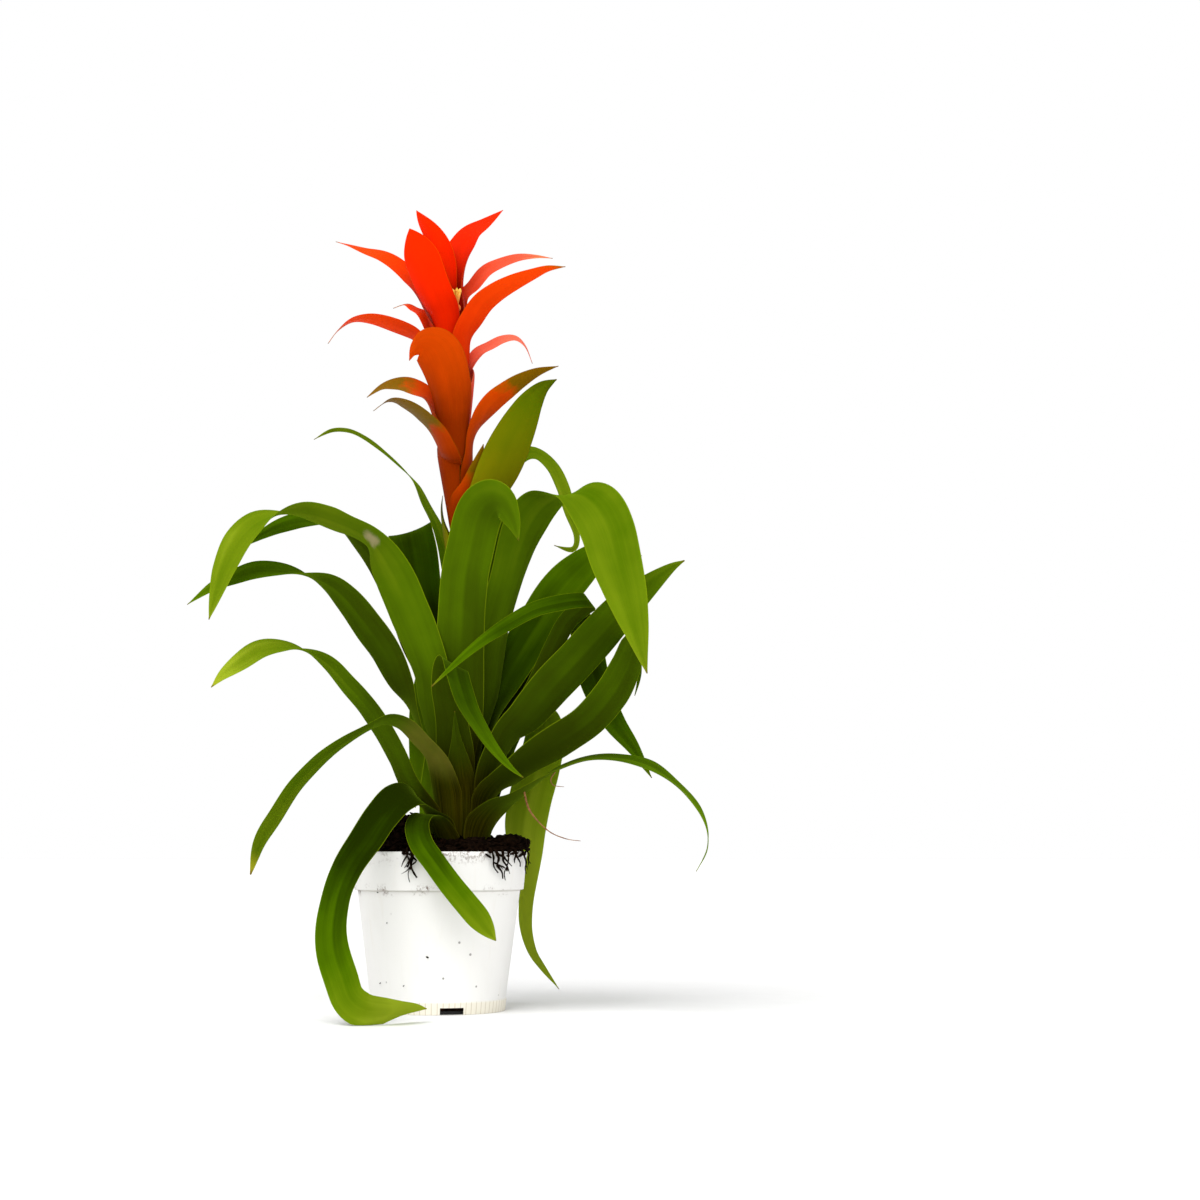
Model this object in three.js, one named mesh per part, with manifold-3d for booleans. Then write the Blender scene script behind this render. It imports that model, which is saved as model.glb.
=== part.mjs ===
// A guzmania bromeliad in a 12 cm grower's pot. Millimetres, +Z up, +Y away from the viewer.
// The origin is the centre of the pot's underside. The plant leans a little, so its own axis is a curve.
import * as THREE from "three";
import { mergeVertices } from "three/addons/utils/BufferGeometryUtils.js";
import Module from "manifold-3d";

const wasm = await Module();
wasm.setup();

// Driving dimensions
const POT = {
  height: 107, rimRadius: 60, lip: 1.8, bandHeight: 26, bandStep: 2.2, shoulderRadius: 55.4, footRadius: 45.5,
  footHeight: 8, footFlare: 0.9, floor: 2.2, wall: 1.3, sides: 40,
};
const SLOT = { width: 16, height: 4.6, count: 4, firstAzimuth: -74 };
const GAP = 0.4;
const PLANT = {
  offset: 15, lean: 17.5, leanHeight: 460, leanPower: 2.2, base: 100, top: 492, scapeRadius: 4.6,
};
const NEST = {
  layers: 11, baseRadius: 17.7, baseStep: 1.05, rise: 4.1, bulbRadius: 28, bulbStep: 1.9, bulbHeight: 158,
};
const SPIKE = { clasp: 5.4, flare: 0.14 };
const BLADE = {
  thickness: 0.8, columns: 4, tipWidth: 1.6, tipCurve: 1.8, tipRound: 0.9, widestSheath: 1.6,
  flatteningReach: 18, flattestBend: 55,
};
const LEAF = { wrap: 1.42, blend: 40, segment: 18, colour: 0x4f7d0a, roughness: 0.4 };
const BRACT = { wrap: 2.4, blend: 14, segment: 11, roughness: 0.5 };
const BRACT_COLOURS = [[315, 0x9a8a1c], [380, 0xd1480c], [Infinity, 0xff3300]];
const SOIL = { level: 106, mound: 12, moundReach: 40, chunks: 18, clearance: 2, rootRadius: 1.1 };
const FLOWERS = {
  count: 7, azimuth: -38, offset: 7.6, height: 487, core: 3, lean: 0.22, tubeLength: 9, tipLength: 3.5,
};

const radians = THREE.MathUtils.degToRad;
const { lerp, clamp, smoothstep } = THREE.MathUtils;

// The plant's own axis: where its centre line stands in X at a height.
const axisX = (z) =>
  PLANT.offset - PLANT.lean * (Math.max(0, z - PLANT.base) / PLANT.leanHeight) ** PLANT.leanPower;

// A leaf's sheath is a piece of a flaring shell. Leaves of one layer stand side by side round the stem.
const attachHeight = (layer) => PLANT.base + NEST.rise * (layer - 1);
const attachRadius = (layer) => NEST.baseRadius - NEST.baseStep * (layer - 1);
function leafShell(layer, z) {
  const bulb = NEST.bulbRadius - NEST.bulbStep * (layer - 1);
  const share = clamp((z - attachHeight(layer)) / (NEST.bulbHeight - attachHeight(layer)), 0, 1);
  return lerp(attachRadius(layer), bulb, share);
}

// A bract's sheath is a piece of a slim cone round the scape, each with a place of its own up the spike.
const bractShell = (foot, z) => SPIKE.clasp + SPIKE.flare * (z - foot);

// Three stations up a sheath, from its foot to where the blade leaves it.
function sheathStations(shell, azimuth, foot, exit) {
  return [0, 0.5, 1].map((share) => {
    const z = lerp(foot, exit, share);
    const r = shell(z);
    const a = radians(azimuth);
    return [axisX(z) + r * Math.cos(a), r * Math.sin(a), z, 0];
  });
}

// One leaf or bract: a closed strap along its stations [x, y, z, roll], curved across round the plant's axis
// where it clasps the stem and nearly flat further out. Both faces are split alike.
function strap({ stations, azimuth, shellRadius, width, taper, kind }) {
  const points = stations.map(([x, y, z]) => new THREE.Vector3(x, y, z));
  const path = new THREE.CatmullRomCurve3(points, false, "catmullrom", 0.5);
  path.arcLengthDivisions = 400;
  const rolls = new THREE.CatmullRomCurve3(
    stations.map(([, , , roll]) => new THREE.Vector3(roll, 0, 0)), false, "catmullrom", 0.5);
  const length = path.getLength();
  const rows = Math.max(6, Math.round(length / kind.segment));
  const { columns, thickness } = BLADE;
  const sheathLength = points[0].distanceTo(points[1]) + points[1].distanceTo(points[2]);
  const across = new THREE.Vector3(-Math.sin(radians(azimuth)), Math.cos(radians(azimuth)), 0);
  const before = new THREE.Vector3();
  const front = [];
  const back = [];
  for (let i = 0; i <= rows; i++) {
    const u = i / rows;
    const t = path.getUtoTmapping(u);
    const point = path.getPoint(t);
    const tangent = path.getTangent(t);
    if (i > 0) across.applyQuaternion(new THREE.Quaternion().setFromUnitVectors(before, tangent));
    across.addScaledVector(tangent, -across.dot(tangent)).normalize();
    before.copy(tangent);
    const side = across.clone().applyAxisAngle(tangent, radians(rolls.getPoint(t).x));
    const up = tangent.clone().cross(side);

    const away = Math.hypot(point.x - axisX(point.z), point.y);
    const spread = Math.max(0, away - shellRadius);
    const bend = Math.min(BLADE.flattestBend, away * (1 + (spread / BLADE.flatteningReach) ** 2));
    const leaving = smoothstep(u * length, sheathLength * 0.8, sheathLength + kind.blend);
    const nearTip = clamp((u - (1 - taper)) / taper, 0, 1);
    const blade = width * (1 - nearTip ** BLADE.tipCurve) ** BLADE.tipRound;
    const sheath = Math.min(kind.wrap * away, width * BLADE.widestSheath);
    const wide = Math.max(BLADE.tipWidth, lerp(sheath, blade, leaving));

    for (let j = 0; j <= columns; j++) {
      const angle = ((j / columns - 0.5) * wide) / bend;
      const normal = up.clone().multiplyScalar(Math.cos(angle)).addScaledVector(side, -Math.sin(angle));
      const middle = point.clone().addScaledVector(up, bend).addScaledVector(normal, -bend);
      front.push(middle.clone().addScaledVector(normal, thickness / 2));
      back.push(middle.clone().addScaledVector(normal, -thickness / 2));
    }
  }
  return closedSheet(front, back, rows, columns);
}

// Joins two grids of points into one closed body.
function closedSheet(front, back, rows, columns) {
  const stride = columns + 1;
  const offset = front.length;
  const index = [];
  const quad = (a, b, c, d) => index.push(a, b, c, a, c, d);
  for (let i = 0; i < rows; i++)
    for (let j = 0; j < columns; j++) {
      const a = i * stride + j;
      const b = a + stride;
      quad(a, b, b + 1, a + 1);
      index.push(offset + a, offset + b + 1, offset + b, offset + a, offset + a + 1, offset + b + 1);
    }
  for (let i = 0; i < rows; i++) {
    const left = i * stride;
    const right = left + columns;
    quad(left, offset + left, offset + left + stride, left + stride);
    quad(right, right + stride, offset + right + stride, offset + right);
  }
  for (let j = 0; j < columns; j++) {
    const last = rows * stride + j;
    quad(j, j + 1, offset + j + 1, offset + j);
    quad(last, offset + last, offset + last + 1, last + 1);
  }
  const geometry = new THREE.BufferGeometry();
  const places = [...front, ...back].flatMap((p) => p.toArray());
  geometry.setAttribute("position", new THREE.Float32BufferAttribute(places, 3));
  geometry.setIndex(index);
  return geometry;
}

// Booleans
function solidOf(geometry) {
  const bare = geometry.clone();
  for (const name of Object.keys(bare.attributes)) if (name !== "position") bare.deleteAttribute(name);
  const merged = mergeVertices(bare, 1e-4);
  return new wasm.Manifold(new wasm.Mesh({
    numProp: 3,
    vertProperties: new Float32Array(merged.attributes.position.array),
    triVerts: new Uint32Array(merged.index.array),
  }));
}
function geometryOf(solid) {
  const mesh = solid.getMesh();
  const geometry = new THREE.BufferGeometry();
  geometry.setAttribute("position", new THREE.BufferAttribute(mesh.vertProperties, 3));
  geometry.setIndex(new THREE.BufferAttribute(mesh.triVerts, 1));
  return geometry;
}
const joined = (geometries) => geometryOf(geometries.map(solidOf).reduce((all, next) => all.add(next)));

// A body turned round +Z from its [radius, height] profile.
function turned(profile, sides) {
  const lathe = new THREE.LatheGeometry(profile.map(([r, z]) => new THREE.Vector2(r, z)), sides);
  return lathe.rotateX(Math.PI / 2);
}

// A round rod along a route of points.
function rod(route, radius, sides, steps) {
  const circle = new THREE.Shape().absarc(0, 0, radius, 0, 2 * Math.PI);
  const extrudePath = new THREE.CatmullRomCurve3(route.map((p) => new THREE.Vector3(...p)));
  return new THREE.ExtrudeGeometry(circle, { steps, curveSegments: sides, extrudePath, bevelEnabled: false });
}

// Leaves, from the lowest and outermost to the inner ones. The route is where the blade's middle line runs
// beyond the sheath, as [x, y, z, roll in degrees].
const LEAVES = [
  {
    name: "leaf_over_rim", layer: 1, azimuth: 236, exit: 115, width: 16, taper: 0.13,
    route: [
      [-2, -27, 129, 0], [-8, -39, 131, 0], [-11, -50, 124, 0], [-7, -64, 112, 0], [3, -73, 99, 0],
      [14, -79, 85, 0], [26, -82, 71, 0], [37, -82, 58, 0], [43, -80, 50, 0],
    ],
  },
  {
    name: "leaf_behind_pot", layer: 2, azimuth: 40, exit: 124, width: 31, taper: 0.42,
    route: [
      [39, 21, 163, 0], [47, 27, 186, 0], [57, 33, 202, 0], [67, 39, 205, -10], [70, 44, 189, -35],
      [66, 49, 166, -50], [60, 54, 143, -55], [56, 59, 122, -45], [56, 64, 101, -20], [56, 69, 76, 0],
      [56, 71, 55, 0], [61, 70, 37, 0], [69, 67, 25, 0], [81, 62, 10, 0],
    ],
  },
  {
    name: "leaf_floor", layer: 2, azimuth: 222, exit: 122, width: 23, taper: 0.2,
    route: [
      [-13, -29, 143, -25], [-24, -44, 142, -40], [-34, -57, 130, -38], [-43, -68, 114, -25],
      [-52, -79, 98, -10], [-58, -89, 80, 0], [-60, -100, 61, 0], [-58, -109, 45, 0],
      [-51, -120, 28, 0], [-45, -127, 16, 8], [-36, -130, 10, 16], [-26, -127, 9, 30],
      [-16, -118, 9, 45], [-8, -106, 9, 48], [0, -95, 8, 45],
    ],
  },
  {
    name: "leaf_right_low", layer: 1, azimuth: 318, exit: 120, width: 24, taper: 0.35,
    route: [
      [40, -22, 135, 0], [53, -27, 143, 10], [65, -32, 151, 20], [81, -37, 161, 30],
      [102, -42, 168, 30], [123, -48, 168, 30], [142, -53, 163, 30], [160, -57, 151, 20],
      [173, -60, 137, 20], [180, -62, 122, 10], [180, -63, 108, 0], [173, -62, 94, 0],
    ],
  },
  {
    name: "leaf_left_low", layer: 3, azimuth: 193, exit: 128, width: 20, taper: 0.2,
    route: [
      [-20, -8, 151, 30], [-29, -9, 171, 35], [-39, -10, 189, 35], [-50, -11, 205, 35],
      [-63, -12, 220, 30], [-77, -13, 235, 20], [-91, -14, 243, -5], [-106, -15, 246, -35],
      [-122, -17, 244, -55], [-135, -19, 236, -65], [-147, -20, 227, -65], [-155, -21, 218, -60],
    ],
  },
  {
    name: "leaf_right_broad", layer: 3, azimuth: 332, exit: 138, width: 27, taper: 0.3,
    route: [
      [42, -17, 151, -10], [61, -22, 167, -30], [81, -26, 180, -45], [102, -29, 194, -45],
      [118, -31, 212, -45], [128, -30, 230, -40], [133, -24, 243, -40], [137, -14, 242, -40],
      [138, -5, 231, -40], [134, 2, 214, -40],
    ],
  },
  {
    name: "leaf_dry_base", layer: 4, azimuth: 235, exit: 146, width: 18, taper: 0.14,
    route: [
      [0, -27, 167, 0], [-11, -34, 181, 0], [-21, -40, 191, 0], [-32, -45, 194, 0], [-43, -50, 189, 0],
      [-60, -57, 178, 8], [-75, -61, 166, 16], [-89, -66, 150, 22], [-102, -70, 129, 24],
      [-112, -72, 111, 24], [-117, -73, 92, 22],
    ],
  },
  {
    name: "leaf_right_back", layer: 5, azimuth: 32, exit: 150, width: 27, taper: 0.35,
    route: [
      [40, 24, 188, 10], [50, 30, 213, 20], [62, 35, 238, 30], [74, 38, 260, 35], [87, 42, 271, 45],
      [96, 45, 267, 55], [100, 48, 252, 65], [104, 50, 234, 70], [111, 52, 215, 70],
      [121, 53, 197, 70], [134, 54, 180, 65], [147, 54, 159, 55],
    ],
  },
  {
    name: "sheath_old", layer: 5, azimuth: 272, exit: 150, width: 14, taper: 0.9,
    route: [
      [13, -30, 183, 0], [12, -34, 201, 0],
    ],
  },
  {
    name: "leaf_left_middle", layer: 5, azimuth: 186, exit: 148, width: 26, taper: 0.38,
    route: [
      [-13, 4, 181, 0], [-21, 3, 206, 12], [-29, 0, 223, 38], [-39, -4, 244, 52], [-51, -7, 261, 52],
      [-65, -10, 279, 42], [-78, -12, 290, 25], [-94, -14, 296, -5], [-110, -15, 299, -30],
      [-127, -16, 299, -48], [-142, -17, 294, -55], [-157, -18, 287, -55], [-173, -19, 275, -50],
    ],
  },
  {
    name: "leaf_right_long", layer: 4, azimuth: 338, exit: 146, width: 30, taper: 0.35,
    route: [
      [45, -16, 182, -15], [61, -18, 199, -35], [77, -20, 218, -48], [94, -21, 236, -50],
      [111, -21, 255, -50], [128, -21, 274, -50], [146, -22, 290, -45], [159, -23, 300, -40],
      [168, -23, 305, -30],
    ],
  },
  {
    name: "leaf_front_low", layer: 6, azimuth: 262, exit: 158, width: 23, taper: 0.35,
    route: [
      [9, -29, 199, 0], [7, -33, 215, 0], [8, -38, 228, 0], [12, -48, 231, 0], [16, -58, 219, 0],
      [22, -65, 202, 0], [31, -69, 187, 0], [41, -72, 173, 0], [51, -74, 162, 0], [60, -74, 155, 0],
    ],
  },
  {
    name: "leaf_front_crossing", layer: 6, azimuth: 352, exit: 158, width: 13, taper: 0.4,
    route: [
      [43, -8, 186, -30], [55, -8, 202, -55], [67, -9, 223, -75], [77, -10, 245, -90],
      [87, -16, 263, -90], [98, -27, 272, -92], [103, -36, 275, -98], [97, -43, 275, -104],
      [84, -47, 273, -108], [66, -50, 268, -110], [49, -55, 258, -112], [32, -60, 246, -112],
      [16, -64, 232, -110], [-1, -67, 215, -100],
    ],
  },
  {
    name: "leaf_left_high", layer: 7, azimuth: 228, exit: 168, width: 31, taper: 0.28,
    route: [
      [-1, -19, 189, 0], [-4, -22, 209, 5], [-6, -23, 228, 10], [-12, -24, 247, 15],
      [-20, -25, 267, 20], [-29, -26, 288, 20], [-38, -27, 305, 5], [-47, -27, 318, -20],
      [-60, -26, 326, -28], [-74, -24, 332, -25], [-91, -23, 337, -32], [-109, -23, 337, -58],
      [-125, -25, 331, -88], [-137, -28, 318, -102], [-145, -31, 300, -108], [-150, -33, 283, -110],
      [-155, -34, 263, -110],
    ],
  },
  {
    name: "leaf_right_high", layer: 7, azimuth: 25, exit: 168, width: 33, taper: 0.3,
    route: [
      [34, 9, 199, 20], [43, 13, 222, 30], [55, 17, 245, 40], [68, 22, 267, 45], [80, 27, 287, 50],
      [94, 31, 304, 50], [110, 35, 318, 40], [126, 38, 323, 20], [140, 40, 317, 10],
    ],
  },
  {
    name: "leaf_left_inner", layer: 8, azimuth: 180, exit: 168, width: 24, taper: 0.35,
    route: [
      [-7, 0, 189, 8], [-11, -3, 211, 16], [-16, -4, 233, 28], [-24, -2, 255, 38], [-33, 1, 281, 42],
      [-46, 3, 305, 38], [-63, 4, 325, 20], [-79, 4, 334, -15], [-96, 4, 337, -50],
      [-111, 4, 334, -68], [-126, 3, 327, -72], [-141, 2, 317, -70],
    ],
  },
  {
    name: "leaf_front_folded", layer: 8, azimuth: 268, exit: 170, width: 33, taper: 0.22,
    route: [
      [15, -21, 199, 0], [15, -25, 223, 0], [15, -29, 246, 0], [16, -33, 270, 0], [18, -36, 293, 0],
      [22, -39, 312, 0], [26, -43, 329, -5], [31, -49, 338, -12], [38, -57, 341, -25],
      [45, -63, 338, -35], [50, -66, 330, -40], [53, -68, 323, -40], [56, -69, 312, -40],
    ],
  },
  {
    name: "leaf_left_upright", layer: 9, azimuth: 128, exit: 172, width: 33, taper: 0.2,
    route: [
      [-1, 20, 212, 0], [-8, 26, 241, -5], [-14, 29, 270, -10], [-19, 31, 295, -15],
      [-22, 34, 317, -27], [-25, 41, 330, -42], [-27, 52, 336, -44], [-30, 63, 330, -34],
      [-33, 71, 318, -20], [-37, 78, 301, 0],
    ],
  },
  {
    name: "leaf_right_arch", layer: 9, azimuth: 312, exit: 172, width: 38, taper: 0.28,
    route: [
      [28, -8, 197, 0], [32, -8, 217, 0], [36, -9, 241, 10], [40, -11, 265, 15], [47, -14, 289, 15],
      [54, -18, 313, 8], [62, -23, 332, 0], [72, -29, 343, 5], [83, -37, 347, 22], [96, -46, 346, 45],
      [107, -54, 336, 65], [115, -61, 320, 72], [121, -66, 298, 74], [127, -70, 277, 70],
      [132, -73, 258, 65], [136, -75, 242, 50], [141, -75, 223, 35],
    ],
  },
  {
    name: "leaf_right_thin", layer: 10, azimuth: 50, exit: 176, width: 20, taper: 0.35,
    route: [
      [23, 13, 219, 0], [25, 17, 247, 0], [28, 23, 280, 10], [31, 30, 313, 10], [34, 38, 346, 10],
      [40, 45, 374, 10], [51, 51, 390, 10], [63, 56, 394, 20], [75, 60, 385, 30], [83, 62, 369, 40],
      [88, 62, 351, 40], [93, 60, 334, 30], [90, 56, 324, 20], [77, 50, 326, 10],
    ],
  },
  {
    name: "leaf_left_thin", layer: 11, azimuth: 138, exit: 178, width: 14, taper: 0.3,
    route: [
      [8, 8, 225, 0], [7, 10, 261, 0], [5, 15, 289, 0], [1, 25, 313, 0], [-6, 34, 336, 5],
      [-15, 41, 354, 12], [-24, 48, 372, 20], [-37, 55, 386, 30], [-51, 62, 399, 35],
      [-64, 68, 409, 35], [-76, 74, 415, 35], [-89, 79, 416, 35], [-102, 82, 410, 30],
    ],
  },
  {
    name: "leaf_back_low", layer: 1, azimuth: 122, exit: 118, width: 25, taper: 0.35,
    route: [
      [7, 37, 154, 0], [3, 59, 178, 0], [-3, 86, 186, 0], [-9, 114, 171, 0], [-15, 139, 141, 0],
      [-18, 157, 106, 0], [-20, 166, 73, 0],
    ],
  },
  {
    name: "leaf_back_middle", layer: 3, azimuth: 108, exit: 134, width: 25, taper: 0.35,
    route: [
      [6, 32, 182, 0], [2, 45, 213, 0], [-4, 67, 236, 0], [-12, 94, 237, 0], [-20, 121, 216, 0],
      [-26, 143, 184, 0], [-31, 161, 140, 0],
    ],
  },
  {
    name: "leaf_back_right", layer: 6, azimuth: 84, exit: 150, width: 26, taper: 0.35,
    route: [
      [18, 30, 195, 0], [19, 42, 245, 0], [21, 62, 292, 0], [25, 91, 312, 0], [28, 121, 301, 0],
      [30, 147, 268, 0], [33, 167, 222, 0],
    ],
  },
];

// Bracts of the spike, from the lowest up. The foot is the height at which each one clasps the scape.
const BRACTS = [
  {
    name: "bract_base", foot: 290, azimuth: 175, exit: 326, width: 13, taper: 0.5,
    route: [
      [-1, 1, 343, 0], [0, 1, 354, 0],
    ],
  },
  {
    name: "bract_right_green", foot: 301, azimuth: 335, exit: 332, width: 30, taper: 0.45,
    route: [
      [30, -9, 349, -20], [39, -13, 368, -45], [47, -16, 386, -55], [55, -18, 403, -60],
      [62, -20, 416, -60], [70, -21, 426, -60], [80, -21, 432, -50],
    ],
  },
  {
    name: "bract_right_short", foot: 312, azimuth: 303, exit: 346, width: 17, taper: 0.5,
    route: [
      [22, -10, 362, 0], [26, -12, 375, 0], [29, -13, 388, 0],
    ],
  },
  {
    name: "bract_right_orange", foot: 334, azimuth: 356, exit: 374, width: 18, taper: 0.45,
    route: [
      [21, -1, 393, -5], [27, -4, 408, -30], [35, -6, 419, -45], [45, -8, 427, -50],
      [55, -9, 434, -50], [67, -10, 440, -45], [81, -10, 444, -30],
    ],
  },
  {
    name: "bract_front_left", foot: 328, azimuth: 219, exit: 378, width: 31, taper: 0.36,
    route: [
      [0, -14, 382, 0], [-6, -18, 396, 0], [-15, -23, 406, 0], [-26, -27, 413, 0],
      [-36, -28, 415, -10], [-46, -29, 408, -20],
    ],
  },
  {
    name: "bract_left_low", foot: 345, azimuth: 166, exit: 402, width: 22, taper: 0.36,
    route: [
      [-10, 5, 420, -8], [-16, 6, 428, -30], [-26, 7, 434, -38], [-36, 8, 435, -38],
      [-45, 9, 433, -32], [-55, 10, 426, -30],
    ],
  },
  {
    name: "bract_front", foot: 356, azimuth: 262, exit: 412, width: 36, taper: 0.3,
    route: [
      [4, -17, 429, 0], [0, -21, 444, 0], [-5, -26, 453, 0], [-12, -31, 455, 0], [-18, -34, 450, 0],
      [-21, -35, 442, 0],
    ],
  },
  {
    name: "bract_right_pink", foot: 367, azimuth: 20, exit: 438, width: 15, taper: 0.38,
    route: [
      [18, 5, 445, 20], [24, 7, 457, 30], [32, 9, 463, 32], [41, 10, 468, 34], [50, 11, 469, 30],
      [57, 12, 463, 15], [62, 12, 451, 0],
    ],
  },
  {
    name: "bract_left_arch", foot: 378, azimuth: 188, exit: 446, width: 16, taper: 0.36,
    route: [
      [-14, -2, 460, 10], [-22, -3, 469, 20], [-36, -3, 475, 22], [-51, -4, 479, 15],
      [-64, -5, 478, 0], [-74, -5, 471, -12], [-81, -6, 461, -20],
    ],
  },
  {
    name: "bract_left_back", foot: 389, azimuth: 135, exit: 462, width: 15.5, taper: 0.4,
    route: [
      [-15, 10, 484, 0], [-23, 13, 491, 0], [-29, 16, 495, 0], [-38, 19, 493, 0],
    ],
  },
  {
    name: "bract_right_long", foot: 400, azimuth: 312, exit: 450, width: 18, taper: 0.5,
    route: [
      [15, -11, 465, 0], [21, -14, 477, -10], [28, -17, 487, -14], [38, -21, 494, -14],
      [50, -24, 500, -14], [63, -27, 505, -10], [74, -28, 509, -5], [86, -29, 510, 0],
    ],
  },
  {
    name: "bract_right_thin", foot: 411, azimuth: 50, exit: 476, width: 11, taper: 0.4,
    route: [
      [12, 11, 497, 10], [20, 13, 508, 20], [28, 15, 519, 28], [38, 16, 525, 28], [51, 18, 530, 28],
      [64, 19, 531, 20], [76, 20, 530, 10],
    ],
  },
  {
    name: "bract_left_top", foot: 422, azimuth: 162, exit: 470, width: 17, taper: 0.45,
    route: [
      [-17, 9, 497, -10], [-25, 11, 512, -30], [-34, 12, 522, -40], [-45, 12, 529, -40],
      [-58, 12, 533, -30], [-69, 12, 537, -20], [-79, 12, 540, -10],
    ],
  },
  {
    name: "bract_front_top", foot: 433, azimuth: 245, exit: 478, width: 29, taper: 0.22,
    route: [
      [-5, -14, 489, 0], [-10, -17, 502, 0], [-14, -20, 514, 0], [-18, -22, 525, 0],
      [-23, -23, 539, 0],
    ],
  },
  {
    name: "bract_cup_right", foot: 444, azimuth: 57, exit: 486, width: 36, taper: 0.55,
    route: [
      [7, 12, 506, 0], [8, 15, 523, 0], [12, 18, 537, 0], [17, 20, 548, 0], [27, 21, 556, 0],
      [40, 21, 566, 0],
    ],
  },
  {
    name: "bract_cup_back", foot: 455, azimuth: 130, exit: 492, width: 34, taper: 0.42,
    route: [
      [-6, 6, 504, 0], [-7, 7, 521, 0], [-10, 7, 537, 0], [-14, 7, 549, 0], [-21, 6, 561, 0],
    ],
  },
];

const plant = new THREE.Group();
function piece(name, geometry, color, roughness) {
  const mesh = new THREE.Mesh(geometry, new THREE.MeshStandardMaterial({ color, roughness, metalness: 0 }));
  mesh.name = name;
  plant.add(mesh);
}

// Pot: a white moulded grower's pot with a rim band, a foot line and drain slots at its bottom edge.
{
  const { height, rimRadius, lip, bandHeight, bandStep, shoulderRadius, wall } = POT;
  const { footRadius, footHeight, floor } = POT;
  const bandBottom = height - bandHeight;
  const footTop = footRadius + POT.footFlare;
  const outside = [
    [0, 0], [footRadius, 0], [footTop, footHeight], [footTop - 0.5, footHeight + 0.6],
    [shoulderRadius, bandBottom], [shoulderRadius + bandStep, bandBottom + 0.4], [rimRadius, height],
  ];
  const inside = [
    [rimRadius - lip, height], [shoulderRadius + bandStep - wall, bandBottom + 1.5],
    [shoulderRadius - wall, bandBottom - 1.5],
    [footTop - 0.5 - wall, footHeight], [footRadius - wall, floor], [0, floor],
  ];
  let body = solidOf(turned([...outside, ...inside], POT.sides));
  for (let i = 0; i < SLOT.count; i++) {
    const slot = new THREE.BoxGeometry(12, SLOT.width, SLOT.height + 1);
    slot.translate(footRadius + 1, 0, (SLOT.height - 1) / 2);
    slot.rotateZ(radians(SLOT.firstAzimuth + (i * 360) / SLOT.count));
    body = body.subtract(solidOf(slot));
  }
  piece("pot", geometryOf(body), 0xf8f8f5, 0.45);
}

// Stem: the short thick stock that the sheaths grow from, with the scape that carries the spike.
const stemRadius = (z) => NEST.baseRadius - 1.1 - (NEST.baseStep / NEST.rise) * (z - PLANT.base);
const stockTop = attachHeight(NEST.layers);
{
  const bottom = PLANT.base - 6;
  const stock = turned([
    [0, bottom], [stemRadius(PLANT.base) - 1, bottom], [stemRadius(PLANT.base), bottom + 2],
    [stemRadius(PLANT.base), PLANT.base], [stemRadius(stockTop), stockTop],
    [PLANT.scapeRadius, stockTop + 20], [0, stockTop + 20],
  ], 20);
  stock.translate(PLANT.offset, 0, 0);
  const heights = [120, 200, 280, 340, 390, 430, 470, PLANT.top];
  const scape = rod(heights.map((z) => [axisX(z), 0, z]), PLANT.scapeRadius, 6, 22);
  piece("stem", joined([stock, scape]), 0x7d8a3c, 0.6);
}

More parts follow.
